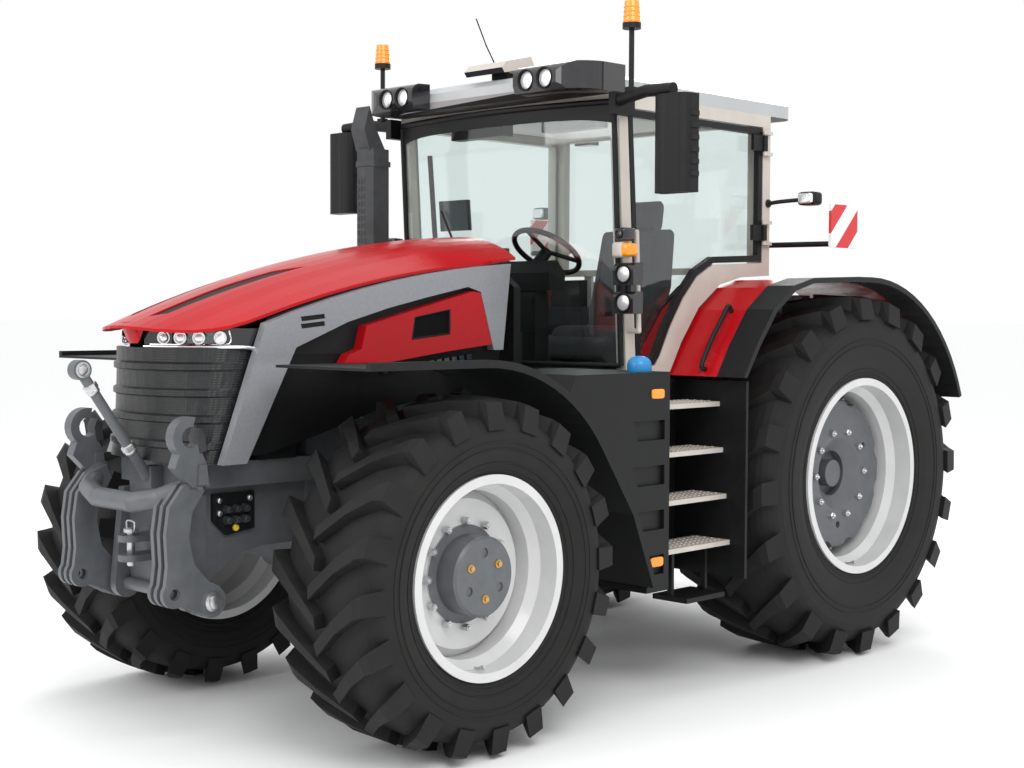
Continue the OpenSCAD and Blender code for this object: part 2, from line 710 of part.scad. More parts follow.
// Wheel arches over the front wheels
module front_fenders() {
  color(BLACK) place() both_sides() {
    side_plate(front_fender_inner_y, front_fender_y - front_fender_inner_y)
      polygon(concat(fender_line(front_fender_r), back(fender_line(front_fender_r - fender_t))));
    side_plate(front_fender_y - 30, 30)
      polygon(concat(fender_line(front_fender_r + 24), back(fender_line(front_fender_r - 1))));
  }
}

// Moulded tank on the left and box on the right, shaped to the front fenders
module tanks() {
  r = front_fender_r + seat_gap;
  line = [for (p = fender_line(r)) if (p[0] < front_x - 560 && p[1] > tank_bottom_z) p];
  outline = concat([[tank_rear_x, tank_bottom_z], [tank_rear_x, tank_top_z], [line[0][0] - 80, tank_top_z]],
    line, [[front_x - 1180, tank_bottom_z]]);
  rib_n = 4;
  color(BLACK) place() both_sides() difference() {
    side_plate(tank_in_y, tank_y - tank_in_y) polygon(outline);
    for (i = [0:rib_n - 1]) side_plate(tank_y - 22, 30) polygon([[tank_rear_x + 40, 1470 - i * 230],
      [tank_rear_x + 290, 1470 - i * 230], [tank_rear_x + 250, 1370 - i * 230], [tank_rear_x + 40,
        1370 - i * 230]]);
    translate([tank_rear_x + 90, tank_y - 130, tank_top_z - 90]) cylinder(r = 70, h = 100);
  }
}

// Black housing behind the steps and the mud panel in front of the rear wheel
module step_housing() {
  wall_y = cab_half_w - 40;
  color(BLACK) place() both_sides() {
    block([panel_x, wall_y, tank_bottom_z], [panel_x + 20, 1300, cab_sill_z - 10]);
    block([panel_x, wall_y - 20, tank_bottom_z], [tank_rear_x, wall_y, cab_sill_z - 10]);
    block([tank_rear_x - 20, wall_y - 20, tank_bottom_z], [tank_rear_x, 1100, cab_sill_z - 10]);
  }
}

// Ladder treads up to the cab, the lowest one folds down on the real machine
module step_treads() {
  z_first = 765;
  rise = 249;
  tread_t = 26;
  tread_w = 240;
  tread_in_y = cab_half_w + 100;
  setback = 25;
  fold_z = 500;
  color(BEIGE) place() both_sides() {
    for (i = [0:3]) block([panel_x + 20, tread_in_y - i * setback, z_first + i * rise],
      [tank_rear_x - 20, tread_in_y + tread_w - i * setback, z_first + i * rise + tread_t]);
    block([step_x0, tread_in_y + 50, fold_z], [step_x1, tread_in_y + tread_w + 40, fold_z + tread_t]);
    for (x = [step_x0 + 10, step_x1 - 30]) block([x, tread_in_y + 140, fold_z], [x + 20,
      tread_in_y + 170, z_first + 1]);
  }
}

// Side outline of a rear fender's skin at radius offset d
function rear_fender_line(d) = let (r = rear_z + rear_fender_gap + d)
  concat([[1237 + d, 1675], [1123 + d, 1847 + d / 3], [971 + d, 2034 + d / 2], [786 + d / 2, 2160 + d],
    [600, 2205 + d]], [[150, rear_z + r]], arc(0, rear_z, r, 90, 158, 14));

// Red rear fenders over the rear tyres
module rear_fenders() {
  color(BODY_RED) place() both_sides()
    side_plate(tub_half_w + 0.3, flare_in_y - tub_half_w - 0.3)
      polygon(concat(rear_fender_line(0), back(rear_fender_line(-fender_t))));
}

// Black flares along the outer edges of the rear fenders
module fender_flares() {
  color(BLACK) place() both_sides()
    side_plate(flare_in_y, rear_fender_y - flare_in_y)
      polygon(concat(rear_fender_line(8), back(rear_fender_line(-22))));
}

// Cab floor with its low walls
module cab_tub() {
  wall = 25;
  floor_t = 60;
  plan = [[cab_rear_x + 20, -tub_half_w], [tub_step_x, -tub_half_w], [tub_step_x, 0.3 - side_in_y],
    [cab_front_x - 20, 0.3 - side_in_y],
    [cab_front_x - 20, side_in_y - 0.3], [tub_step_x, side_in_y - 0.3], [tub_step_x, tub_half_w],
      [cab_rear_x + 20, tub_half_w]];
  color(BEIGE) place() {
    difference() {
      translate([0, 0, cab_floor_z]) linear_extrude(cab_sill_z + 45 - cab_floor_z) polygon(plan);
      block([cab_rear_x + 20 + wall, wall - tub_half_w, cab_floor_z + floor_t], [tub_step_x + wall + 1,
        tub_half_w - wall, 3000]);
      block([tub_step_x + wall, wall - side_in_y, cab_floor_z + floor_t], [cab_front_x - 20 - wall,
        side_in_y - wall, 3000]);
    }
    both_sides() side_plate(tub_half_w - wall, wall) polygon(concat([[cab_rear_x + 20, cab_sill_z],
      [tub_step_x, cab_sill_z]],
      [for (p = rear_fender_line(14)) if (p[0] > cab_rear_x + 60) p], [[cab_rear_x + 20, fender_top_z + 4]]));
    block([600, -150, gearbox_top_z], [1100, 150, cab_floor_z + 1]);
  }
}

// Side outline of the cab frame
function cab_outline() = [[cab_front_x, cab_sill_z], [cab_front_x + pillar_lean, cab_top_z], [cab_rear_x,
  cab_top_z],
  [cab_rear_x, fender_top_z + 12], [600, 2222], [796, 2177], [990, 2046], [1143, 1856], [1262, cab_sill_z]];

// Side outline of the door opening, inset by d from its edge
function door_outline(d) = [[cab_front_x - 75 - d, cab_sill_z + 70 + d],
  [cab_front_x + pillar_lean - 72 - d, cab_top_z - 70 - d], [cab_rear_x + 72 + d, cab_top_z - 70 - d],
  [cab_rear_x + 72 + d, 2310 + d], [860 + d / 4, 2290 + d], [1010 + d / 2, 2215 + d], [1130 + d,
    2095 + d / 2],
  [1240 + d, 1940 + d / 2], [1330 + d, 1780 + d / 3], [1370 + d, cab_sill_z + 70 + d]];

// Four-post cab frame: two side frames, cross rails and the door hinges' posts
module cab_frame() {
  rail = 50;
  color(BEIGE) place() {
    both_sides() side_plate(side_in_y, cab_side_t) difference() {
      polygon(cab_outline());
      polygon(door_outline(0));
    }
    block([cab_front_x + pillar_lean - 55, -side_in_y, cab_top_z - rail], [cab_front_x + pillar_lean,
      side_in_y, cab_top_z]);
    block([cab_rear_x, -side_in_y, cab_top_z - rail], [cab_rear_x + rail, side_in_y, cab_top_z]);
    both_sides() block([cab_rear_x, side_in_y - 60, 2250], [cab_rear_x + rail, side_in_y, cab_top_z]);
    block([cab_rear_x, -side_in_y, 2250], [cab_rear_x + rail, side_in_y, 2290]);
    both_sides() block([cab_rear_x, tub_half_w - 60, cab_sill_z], [cab_rear_x + 20, tub_half_w, 2290]);
    block([cab_rear_x, -tub_half_w, cab_sill_z - 100], [cab_rear_x + 20, tub_half_w, cab_sill_z]);
    for (z = hinge_zs) {
      translate([door_axis_x, door_axis_y, z - 20]) cylinder(r = door_pin_r, h = hinge_h + 40);
      for (lug_z = [z - 26, z + hinge_h + 6]) {
        block([door_axis_x - 60, cab_half_w - 1, lug_z], [door_axis_x - 9, door_axis_y + 12, lug_z + 20]);
        translate([door_axis_x, door_axis_y, lug_z]) cylinder(r = 14, h = 20);
      }
    }
  }
}

// Windscreen curved round the front, rear window and right window
module cab_glass() {
  bulge = 110;
  r = (pow(cab_half_w - 6, 2) + pow(bulge, 2)) / (2 * bulge);
  half = asin((cab_half_w - 6) / r);
  lean = atan(pillar_lean / (cab_top_z - cab_sill_z));
  color(GLASS) place() {
    translate([cab_front_x, 0, cab_sill_z]) rotate([0, lean, 0]) translate([bulge - r + 0.3, 0, 60])
      rotate([0, 0, -half]) rotate_extrude(angle = 2 * half, $fn = 240)
        translate([r, 0]) square([glass_t, cab_top_z - cab_sill_z - 90]);
    mirror([0, 1, 0]) side_plate(side_in_y - glass_t, glass_t) polygon(door_outline(-18));
    cross_plate(cab_rear_x - glass_t, glass_t) polygon([[760, 3140], [-760, 3140], [-760, 2265], [-550, 2265],
      [-550, 1640], [550, 1640], [550, 2265], [760, 2265]]);
  }
}

// Left door: a slim frame that fills the door opening
module door_frame() {
  edge = 36;
  t = 34;
  handle_x = cab_front_x - 75 - free_gap - edge + 26;
  color(BLACK) place() {
    side_plate(cab_half_w - t, t) difference() {
      polygon(door_outline(free_gap));
      polygon(door_outline(free_gap + edge));
    }
    difference() {
      for (z = hinge_zs) {
        translate([door_axis_x, door_axis_y, z]) cylinder(r = 16, h = hinge_h);
        block([door_axis_x, cab_half_w - 1, z], [door_axis_x + 110, cab_half_w + 18, z + hinge_h]);
      }
      translate([door_axis_x, door_axis_y, 2000]) cylinder(r = door_pin_r + run_gap, h = 1200);
    }
    block([handle_x, cab_half_w - 1, 2080], [handle_x + 28, cab_half_w + 20, 2230]);
  }
}

// Left door glass, bonded behind the door frame
module door_glass() {
  color(GLASS) place() side_plate(cab_half_w - 34 - glass_t, glass_t) polygon(door_outline(free_gap + 12));
}

// Light roof cap with a dropped rear and rounded front corners
function roof_plan(grow) = let (corner = roof_corner + grow, rear = 130 + grow)
  concat(arc(roof_front_x - roof_corner, cab_half_w - roof_corner, corner, 90, 4, 8),
    arc(roof_front_x - roof_corner, roof_corner - cab_half_w, corner, -4, -90, 8),
    arc(roof_rear_x + 120, 130 - cab_half_w, rear, -90, -180, 6), arc(roof_rear_x + 120,
      cab_half_w - 130, rear, 180, 90, 6));

module cab_roof() {
  side = [[roof_rear_x, cab_top_z], [roof_front_x - 40, cab_top_z], [roof_front_x, cab_top_z + 40],
    [roof_front_x - 12, cab_top_z + 90], roof_brow, roof_crown, [1300, cab_top_z + roof_h],
    [860, cab_top_z + roof_h - 5], [480, cab_top_z + roof_h - 55], [roof_rear_x + 30, cab_top_z + 75],
    [roof_rear_x - 10, cab_top_z + 40]];
  color(ROOF_GREY) place() intersection() {
    side_plate(-cab_half_w - 10, 2 * cab_half_w + 20) polygon(side);
    translate([0, 0, cab_top_z]) linear_extrude(400) polygon(roof_plan(0));
    translate([-500, 0, cab_top_z - 2600 + roof_h + 4]) rotate([0, 90, 0]) cylinder(r = 2600, h = 3000,
      $fn = 240);
  }
}

// Lamp pods at the front corners of the roof, lamps on the front pillars and at the rear corners of the roof
module work_lamps() {
  pod_front = roof_front_x + 130;
  lens_r = 52;
  pod_low = cab_top_z + seat_gap;
  color(BLACK) place() {
    both_sides() difference() {
      intersection() {
        translate([0, 0, pod_low]) linear_extrude(200) polygon(concat([[roof_front_x - 370, cab_half_w - 20]],
          arc(pod_front - 190, cab_half_w - 178, 190, 90, 8, 8), [[pod_front, 400], [roof_front_x, 390]]));
        side_plate(380, 520) polygon(concat([[roof_front_x - 400, pod_low], [pod_front - 20, pod_low],
          [pod_front, pod_low + 40]], arc(pod_front - 60, pod_low + 82, 60, 0, 80, 5),
            [[roof_front_x - 400, pod_low + 156]]));
      }
      translate([0, 0, cab_top_z - 10]) linear_extrude(400) polygon(roof_plan(seat_gap));
      for (y = [490, 625]) translate([pod_front - 26, y, pod_low + 66]) rotate([0, 90,
        0]) cylinder(r = lens_r, h = 60);
    }
    both_sides() block([cab_rear_x - 90, 560, cab_top_z - 62], [cab_rear_x - 10, 700, cab_top_z]);
    both_sides() {
      block([cab_front_x - 30, cab_half_w, 2120], [cab_front_x + 60, cab_half_w + 40, 2180]);
      for (z = [2010, 2160]) difference() {
        side_plate(cab_half_w + 10, 140) polygon(concat([[cab_front_x + 50, z], [cab_front_x + 128, z]],
          arc(cab_front_x + 90, z + 78, 40, 0, 90, 5), [[cab_front_x + 50, z + 118]]));
        translate([cab_front_x + 116, cab_half_w + 80, z + 58]) rotate([0, 90, 0]) cylinder(r = 48, h = 30);
      }
      block([cab_front_x + 40, cab_half_w + 25, 2010], [cab_front_x + 52, cab_half_w + 70, 2278]);
    }
  }
}

// Driver's seat on its pedestal
module seat() {
  floor = cab_floor_z + 60;
  color(BLACK) place() {
    block([640, -170, floor], [1000, 170, floor + 220]);
    side_plate(-260, 520) polygon(concat(arc(660, floor + 270, 50, 180, 270, 5), arc(1070, floor + 270,
      50, 270, 360, 5),
      arc(1050, floor + 300, 70, 0, 90, 6), [[860, floor + 352]], arc(670, floor + 300, 60, 90, 180, 5)));
    translate([640, 0, floor + 340]) rotate([0, -10, 0]) side_plate(-250, 500) polygon(concat(
      arc(-10, 40, 45, 200, 340, 6), [[52, 180], [30, 420]], arc(-35, 640, 50, 0, 150, 6), [[-105, 350]]));
    translate([640, 0, floor + 340]) rotate([0, -10, 0]) side_plate(-140, 280) polygon(concat(
      arc(-40, 730, 45, 190, 350, 6), arc(-40, 830, 42, 0, 180, 8)));
    for (y = [-70, 50]) translate([640, 0, floor + 340]) rotate([0, -10, 0]) block([-52, y, 640], [-32,
      y + 20, 740]);
    block([620, -400, floor + 430], [1080, -290, floor + 540]);
    block([640, -380, floor + 100], [760, -290, floor + 440]);
    block([640, -380, floor + 100], [760, -169, floor + 200]);
  }
}

// Steering column, wheel and dash behind the windscreen
module driver_console() {
  floor = cab_floor_z + 60;
  wheel_tilt = 35;
  color(BLACK) place() {
    side_plate(-140, 280) polygon(concat([[cab_front_x - 160, floor], [cab_front_x - 50, floor],
      [cab_front_x - 50, floor + 600]],
      arc(cab_front_x - 90, floor + 600, 40, 0, 90, 6), [[cab_front_x - 140, floor + 640],
        [cab_front_x - 160, floor + 560]]));
    translate([cab_front_x - 115, 0, floor + 640 + seat_gap]) cylinder(r = 48, h = 40);
    rod([cab_front_x - 115, 0, floor + 690], [cab_front_x - 290, 0, floor + 860], 36);
    translate([cab_front_x - 115, 0, floor + 690]) sphere(r = 42);
    translate([cab_front_x - 290, 0, floor + 860]) rotate([0, -wheel_tilt, 0]) {
      rotate_extrude() translate([205, 0]) circle(16);
      for (a = [0:120:240]) rotate([0, 90, a]) cylinder(r = 13, h = 205);
    }
  }
}

// Exhaust stack at the right front of the cab
module exhaust_stack() {
  x = 2070;
  y = -690;
  tip_z = 2950;
  color([0.2, 0.21, 0.22]) place() {
    translate([x, y, 1740]) linear_extrude(tip_z - 1740) polygon([[-75, -70], [40, -70], [75, -35], [75, 35],
      [40, 70], [-75, 70]]);
    side_plate(y - 60, 120) polygon([[x - 60, tip_z - 10], [x + 60, tip_z - 10], [x + 100, tip_z + 110],
      [x + 60, tip_z + 240], [x + 20, tip_z + 130]]);
    for (z = [2050, 2850]) translate([x, y, z]) linear_extrude(30) polygon([[-82, -77], [43, -77], [82,
      -38], [82, 38],
      [43, 77], [-82, 77]]);
    y_bar(x, 1800, y, -engine_half_w, 55);
  }
}

// Mirrors on arms from the tops of the front pillars
module mirrors() {
  arm_z = 3120;
  mirror_y = 1290;
  color(BLACK) place() both_sides() {
    bent_rod([[arm_x, cab_half_w + 20, arm_z], [arm_x + 20, 1100, arm_z + 30], [arm_x + 40, mirror_y,
      arm_z + 20]], 32);
    block([arm_x - 120, cab_half_w, arm_z - 70], [arm_x + 40, cab_half_w + 45, arm_z + 45]);
    block([arm_x - 20, beacon_y - 24, arm_z], [arm_x + 24, beacon_y + 24, beacon_foot_z]);
    difference() {
      union() {
        translate([0, 0, 2620]) linear_extrude(492) polygon(concat([[arm_x - 15, mirror_y - 104]],
          arc(arm_x + 20, mirror_y - 30, 80, -60, 15, 6), arc(arm_x + 30, mirror_y + 46, 70, 10, 80, 6),
          [[arm_x - 15, mirror_y + 120]]));
        for (z = [2700:60:3000]) translate([0, 0, z]) linear_extrude(24) polygon([[arm_x - 10,
          mirror_y + 110],
          [arm_x + 50, mirror_y + 104], [arm_x + 40, mirror_y + 128], [arm_x - 10, mirror_y + 128]]);
      }
      block([arm_x - 20, mirror_y - 90, 2800], [arm_x - 8, mirror_y + 104, 3094]);
      block([arm_x - 20, mirror_y - 90, 2638], [arm_x - 8, mirror_y + 104, 2780]);
    }
  }
}

// Amber beacons on stalks above the mirror arms
module beacons() {
  color([0.9, 0.45, 0.05]) place() both_sides() translate([arm_x, beacon_y, beacon_foot_z]) {
    cylinder(r = 14, h = 300);
    translate([0, 0, 298]) cylinder(r = 48, h = 30);
    translate([0, 0, 327]) cylinder(r1 = 46, r2 = 38, h = 113);
  }
}

// Satellite receiver box and aerial on the front of the roof
module receiver() {
  slope = (roof_brow - roof_crown)[1] / (roof_brow - roof_crown)[0];
  function on_roof(x, h) = [x, roof_crown[1] + slope * (x - roof_crown[0]) + h];
  x0 = roof_crown[0] + 60;
  color(BEIGE) place() {
    side_plate(-60, 120) polygon([on_roof(x0, seat_gap), on_roof(x0 + 100, seat_gap), on_roof(x0 + 100,
      40), on_roof(x0, 40)]);
    side_plate(-150, 300) polygon([on_roof(x0 - 30, 39), on_roof(x0 + 210, 39), on_roof(x0 + 230, 70),
      on_roof(x0 + 190, 100), on_roof(x0, 100)]);
  }
}

// Striped warning boards on folding arms at the rear corners of the cab
module marker_board() {
  color(BLACK) place() both_sides() {
    root_y = side_in_y + 6;
    board_y = root_y + 390;
    bent_rod([[cab_rear_x, root_y, 2420], [cab_rear_x - 70, root_y, 2420], [cab_rear_x - 130, board_y,
      2420]], 16);
    block([cab_rear_x - 400, board_y, 2400], [cab_rear_x - 120, board_y + 16, 2650]);
  }
}

// Grab rails beside the doors and on the fenders
module hand_rails() {
  color(BEIGE) place() both_sides() {
    bent_rod([[cab_front_x + 10, cab_half_w, 2440], [cab_front_x + 10, cab_half_w + 70, 2440],
      [cab_front_x - 15, cab_half_w + 70, 1920], [cab_front_x - 15, cab_half_w, 1920]], 14);
  }
}

// Drawbar, power take-off stub and top link bracket at the rear
module rear_hitch() {
  plate_x = -380;
  ear_y = 32;
  ear_t = 28;
  top_link_r = 16;
  color(CAST_GREY) place() difference() {
    union() {
      block([plate_x - 90, -150, 480], [plate_x, 150, 1250]);
      block([plate_x - 480, -55, 500], [plate_x + 60, 55, 545]);
      block([plate_x - 60, -150, 480], [plate_x + 60, 150, 560]);
      both_sides() side_plate(ear_y, ear_t) polygon(concat([[plate_x - 89, 1110], [plate_x - 89, 1240]],
        arc(plate_x - 150, 1175, 45, 90, 270, 10)));
      translate([plate_x - 160, 0, 780]) rotate([0, 90, 0]) cylinder(r = 17.5, h = 80);
      y_bar(-link_pivot_x, link_z, -gearbox_half_w - 140, gearbox_half_w + 140, 30);
      block([-link_pivot_x - 60, -gearbox_half_w - 60, link_z - 50], [-link_pivot_x + 60,
        gearbox_half_w + 60, link_z + 50]);
      block([plate_x - 20, -gearbox_half_w, link_z - 50], [-link_pivot_x + 60, gearbox_half_w, link_z + 30]);
    }
    translate([plate_x - 430, 0, 450]) cylinder(r = drawbar_bore_r, h = 200);
    y_bar(plate_x - 150, 1175, -100, 100, top_link_r);
  }
}

// Rear lower links with their ball eyes and the lugs for the lift rods
module lower_links() {
  pivot_y = gearbox_half_w + 105;
  eye_x = -(rear_reach - 50);
  lug_x = -link_pivot_x - lift_arm_len;
  lug_y = lift_rod_y - 62;
  color(CAST_GREY) place() both_sides() difference() {
    union() {
      y_bar(-link_pivot_x, link_z, pivot_y - 35, pivot_y + 35, 60);
      rod([-link_pivot_x, pivot_y, link_z], [eye_x, link_eye_y, link_z], 32);
      y_bar(eye_x, link_z, link_eye_y - 32, link_eye_y + 32, 50);
      side_plate(lug_y, 26) polygon(concat([[lug_x - 60, link_z - 10], [lug_x + 60, link_z - 10]],
        arc(lug_x, link_z + lift_lug_h, 36, 0, 180, 10)));
      y_bar(lug_x, link_z + lift_lug_h, lug_y, lift_rod_y + 34, lift_pin_r);
    }
    y_bar(-link_pivot_x, link_z, 0, 900, 30 + run_gap);
    y_bar(eye_x, link_z, 0, 900, link_bore_r);
  }
}

// Rear lift arms on the rock shaft at the top of the axle casting
module lift_arms() {
  arm_y = gearbox_half_w + 30;
  end_x = -link_pivot_x - lift_arm_len;
  end_z = lift_arm_z + lift_lug_h;
  color(CAST_GREY) place() both_sides() {
    y_bar(-link_pivot_x, lift_arm_z, gearbox_half_w + seat_gap, arm_y + 60, 75);
    rod([-link_pivot_x, arm_y + 25, lift_arm_z], [end_x, arm_y + 98, end_z], 36);
    y_bar(end_x, end_z, arm_y + 60, lift_rod_y - 36, 42);
    y_bar(end_x, end_z, arm_y + 60, lift_rod_y + 34, lift_pin_r);
  }
}

// Rear lift rods between the lift arms and the lower links
module lift_rods() {
  x = -link_pivot_x - lift_arm_len;
  top_z = lift_arm_z + lift_lug_h;
  foot_z = link_z + lift_lug_h;
  color(CAST_GREY) place() both_sides() difference() {
    union() {
      for (z = [foot_z, top_z]) y_bar(x, z, lift_rod_y - 28, lift_rod_y + 28, 42);
      rod([x, lift_rod_y, foot_z], [x, lift_rod_y, top_z], 26);
      rod([x, lift_rod_y, foot_z + 190], [x, lift_rod_y, foot_z + 430], 38);
    }
    for (z = [foot_z, top_z]) y_bar(x, z, 0, 900, lift_pin_r + run_gap);
  }
}

// Front linkage: curved ribs, cross tube and open hooks, folded up
module front_lift_arms() {
  px = front_x + front_pivot_reach;
  rib_t = 24;
  tube_r = 46;
  bow = [[px + 40, 424, 1262], [px + 176, 300, 1186], [px + 218, 150, 1158], [px + 218, -150, 1158],
    [px + 176, -300, 1186], [px + 40, -424, 1262]];
  eye_x = px + 196;
  eye_z = 775;
  hook_y = 400;
  hook = [px + 118, 1462];
  color(CAST_GREY) place() {
    both_sides() {
      difference() {
        for (y = [322, 372, 422]) side_plate(y, rib_t) polygon(concat(arc(px, front_pivot_z, 72, 150,
          285, 10),
          [[px + 90, 690]], arc(eye_x, eye_z, 62, -120, 40, 8), [[px + 232, 900], [px + 240, 1040],
            [px + 222, 1160],
          [px + 150, 1250], [px + 66, 1285], [px + 40, 1220], [px + 104, 1130], [px + 122, 1020],
            [px + 96, 900],
          [px + 20, 815], [px - 40, 785]]));
        y_bar(eye_x, eye_z, 200, 500, 26);
      }
      side_plate(hook_y, 60) polygon(concat([[px + 20, 1240], [px + 110, 1240], [px + 200, 1330]],
        arc(hook[0], hook[1], 92, -50, 105, 10), arc(hook[0], hook[1], 47, 105, -140, 10), [[px + 40,
          1350]]));
      side_plate(hook_y - 14, 88) polygon([[px + 36, 1250], [px + 90, 1250], [px + 84, 1340], [px + 44,
        1340]]);
    }
    bent_rod(bow, tube_r);
    y_bar(px, front_pivot_z, -450, 450, front_pin_r);
  }
}

// Front top link with its ball end, stowed pointing forward
module front_top_link() {
  base = [front_x + 960, 0, 1250];
  tip = [front_x + front_reach - 45, 0, 1752];
  color(CAST_GREY) place() {
    rod(base, tip, 24);
    translate(tip) rotate([90, 0, 0]) translate([0, 0, -28]) cylinder(r = 45, h = 56);
    block([frame_front_x, -40, 1200], [frame_front_x + 66, 40, 1300]);
  }
}

rear_transaxle();
engine_block();
front_frame();
front_axle();
radiator();
cowl();
tanks();
front_fenders();
step_housing();
step_treads();
rear_fenders();
fender_flares();
cab_tub();
cab_frame();
cab_glass();
cab_roof();
work_lamps();
seat();
driver_console();
exhaust_stack();
mirrors();
beacons();
receiver();
marker_board();
hand_rails();
rear_hitch();
front_top_link();
tow_clevis();
front_left_knuckle();
front_right_knuckle();
front_left_tyre();
front_right_tyre();
rear_left_tyre();
rear_right_tyre();
front_left_wheel();
front_right_wheel();
rear_left_wheel();
rear_right_wheel();
hood_top();
hood_bands();
hood_sides();
vent_panels();
grille();
headlamps();
door_frame();
door_glass();
front_lift_arms();
lower_links();
lift_arms();
lift_rods();
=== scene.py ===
import math
import bmesh
import bpy
from mathutils import Matrix, Vector


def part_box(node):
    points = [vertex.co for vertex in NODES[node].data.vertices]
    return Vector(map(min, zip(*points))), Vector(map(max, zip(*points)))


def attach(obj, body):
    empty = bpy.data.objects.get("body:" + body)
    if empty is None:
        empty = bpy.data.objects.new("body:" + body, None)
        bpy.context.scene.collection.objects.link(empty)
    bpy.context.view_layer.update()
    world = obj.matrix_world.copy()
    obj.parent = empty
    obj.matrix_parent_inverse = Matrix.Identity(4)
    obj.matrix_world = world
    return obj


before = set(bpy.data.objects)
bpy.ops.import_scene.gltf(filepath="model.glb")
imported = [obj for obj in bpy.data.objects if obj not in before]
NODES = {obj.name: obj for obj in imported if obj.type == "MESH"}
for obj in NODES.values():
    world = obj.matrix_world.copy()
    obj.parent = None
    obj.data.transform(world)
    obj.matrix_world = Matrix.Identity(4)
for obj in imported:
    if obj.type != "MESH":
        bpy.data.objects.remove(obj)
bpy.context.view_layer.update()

SIDES = (("left", 1), ("right", -1))
FULL_TURN = 2 * math.pi

# Places are in metres, with x counted from the rear axle
REAR_AXLE_X = -1.575
# Each wheel's centre, grey middle, rim and tyre carcass
WHEELS = {
    "front": {"x": 3.05, "y": 1.025, "z": 0.82, "grey_r": 0.225, "rim_r": 0.462, "rim_half": 0.268,
              "tyre_r": 0.764, "tyre_half": 0.315, "bead_r": 0.441, "flange_r": 0.4693, "bead_half": 0.261},
    "rear": {"x": 0.0, "y": 1.0, "z": 1.065, "grey_r": 0.487, "rim_r": 0.567, "rim_half": 0.313,
             "tyre_r": 1.009, "tyre_half": 0.350, "bead_r": 0.546, "flange_r": 0.5743, "bead_half": 0.306},
}


def at(x, y, z):
    """A point given from the rear axle, in the row frame."""
    return Vector((x + REAR_AXLE_X, y, z))


def wheel_centre(axle, s):
    w = WHEELS[axle]
    return at(w["x"], s * w["y"], w["z"])


def angles(n, start=0.0):
    """Equal steps round a circle."""
    return [start + FULL_TURN * i / n for i in range(n)]


def spoke(a):
    """A direction in a wheel's plane."""
    return Vector((math.cos(a), 0, math.sin(a)))


# Materials
ROUGH_SPREAD = 0.08
GRAIN_DEPTH = 0.002


def material(name, colour, rough, metal=0.0, vary=0.12, scale=30.0, bump=0.0, bump_scale=200.0, coat=0.0,
             shine=0.5):
    """Paint, plastic or metal whose colour and roughness vary with noise, with a grain if bump is set."""
    m = bpy.data.materials.new(name)
    m.use_nodes = True
    nodes, links = m.node_tree.nodes, m.node_tree.links
    surface = nodes["Principled BSDF"]
    place = nodes.new("ShaderNodeTexCoord")
    noise = nodes.new("ShaderNodeTexNoise")
    noise.inputs["Scale"].default_value = scale
    noise.inputs["Detail"].default_value = 6.0
    ramp = nodes.new("ShaderNodeValToRGB")
    dark, light = ramp.color_ramp.elements
    dark.position = 0.3
    dark.color = (*[c * (1 - vary) for c in colour], 1)
    light.position = 0.7
    light.color = (*[min(1.0, c * (1 + vary)) for c in colour], 1)
    links.new(place.outputs["Object"], noise.inputs["Vector"])
    links.new(noise.outputs["Fac"], ramp.inputs["Fac"])
    links.new(ramp.outputs["Color"], surface.inputs["Base Color"])
    wear = nodes.new("ShaderNodeMapRange")
    wear.inputs["To Min"].default_value = max(0.02, rough - ROUGH_SPREAD)
    wear.inputs["To Max"].default_value = min(1.0, rough + ROUGH_SPREAD)
    links.new(noise.outputs["Fac"], wear.inputs["Value"])
    links.new(wear.outputs["Result"], surface.inputs["Roughness"])
    surface.inputs["Metallic"].default_value = metal
    surface.inputs["Coat Weight"].default_value = coat
    surface.inputs["Specular IOR Level"].default_value = shine
    if bump:
        grain = nodes.new("ShaderNodeTexNoise")
        grain.inputs["Scale"].default_value = bump_scale
        grain.inputs["Detail"].default_value = 3.0
        links.new(place.outputs["Object"], grain.inputs["Vector"])
        add_bump(m, grain.outputs["Fac"], bump, GRAIN_DEPTH)
    return m


def add_bump(m, height, strength, depth):
    nodes, links = m.node_tree.nodes, m.node_tree.links
    bump = nodes.new("ShaderNodeBump")
    bump.inputs["Strength"].default_value = strength
    bump.inputs["Distance"].default_value = depth
    links.new(height, bump.inputs["Height"])
    links.new(bump.outputs["Normal"], nodes["Principled BSDF"].inputs["Normal"])


def glass_material():
    """Clear glass with a faint reflection of constant weight."""
    m = bpy.data.materials.new("glass")
    m.use_nodes = True
    nodes, links = m.node_tree.nodes, m.node_tree.links
    nodes.remove(nodes["Principled BSDF"])
    clear = nodes.new("ShaderNodeBsdfTransparent")
    clear.inputs["Color"].default_value = (0.93, 0.962, 0.955, 1)
    shine = nodes.new("ShaderNodeBsdfGlossy")
    place = nodes.new("ShaderNodeTexCoord")
    noise = nodes.new("ShaderNodeTexNoise")
    noise.inputs["Scale"].default_value = 2.5
    wear = nodes.new("ShaderNodeMapRange")
    wear.inputs["To Min"].default_value = 0.02
    wear.inputs["To Max"].default_value = 0.06
    links.new(place.outputs["Object"], noise.inputs["Vector"])
    links.new(noise.outputs["Fac"], wear.inputs["Value"])
    links.new(wear.outputs["Result"], shine.inputs["Roughness"])
    mix = nodes.new("ShaderNodeMixShader")
    mix.inputs[0].default_value = 0.07
    links.new(clear.outputs[0], mix.inputs[1])
    links.new(shine.outputs[0], mix.inputs[2])
    links.new(mix.outputs[0], nodes["Material Output"].inputs["Surface"])
    return m


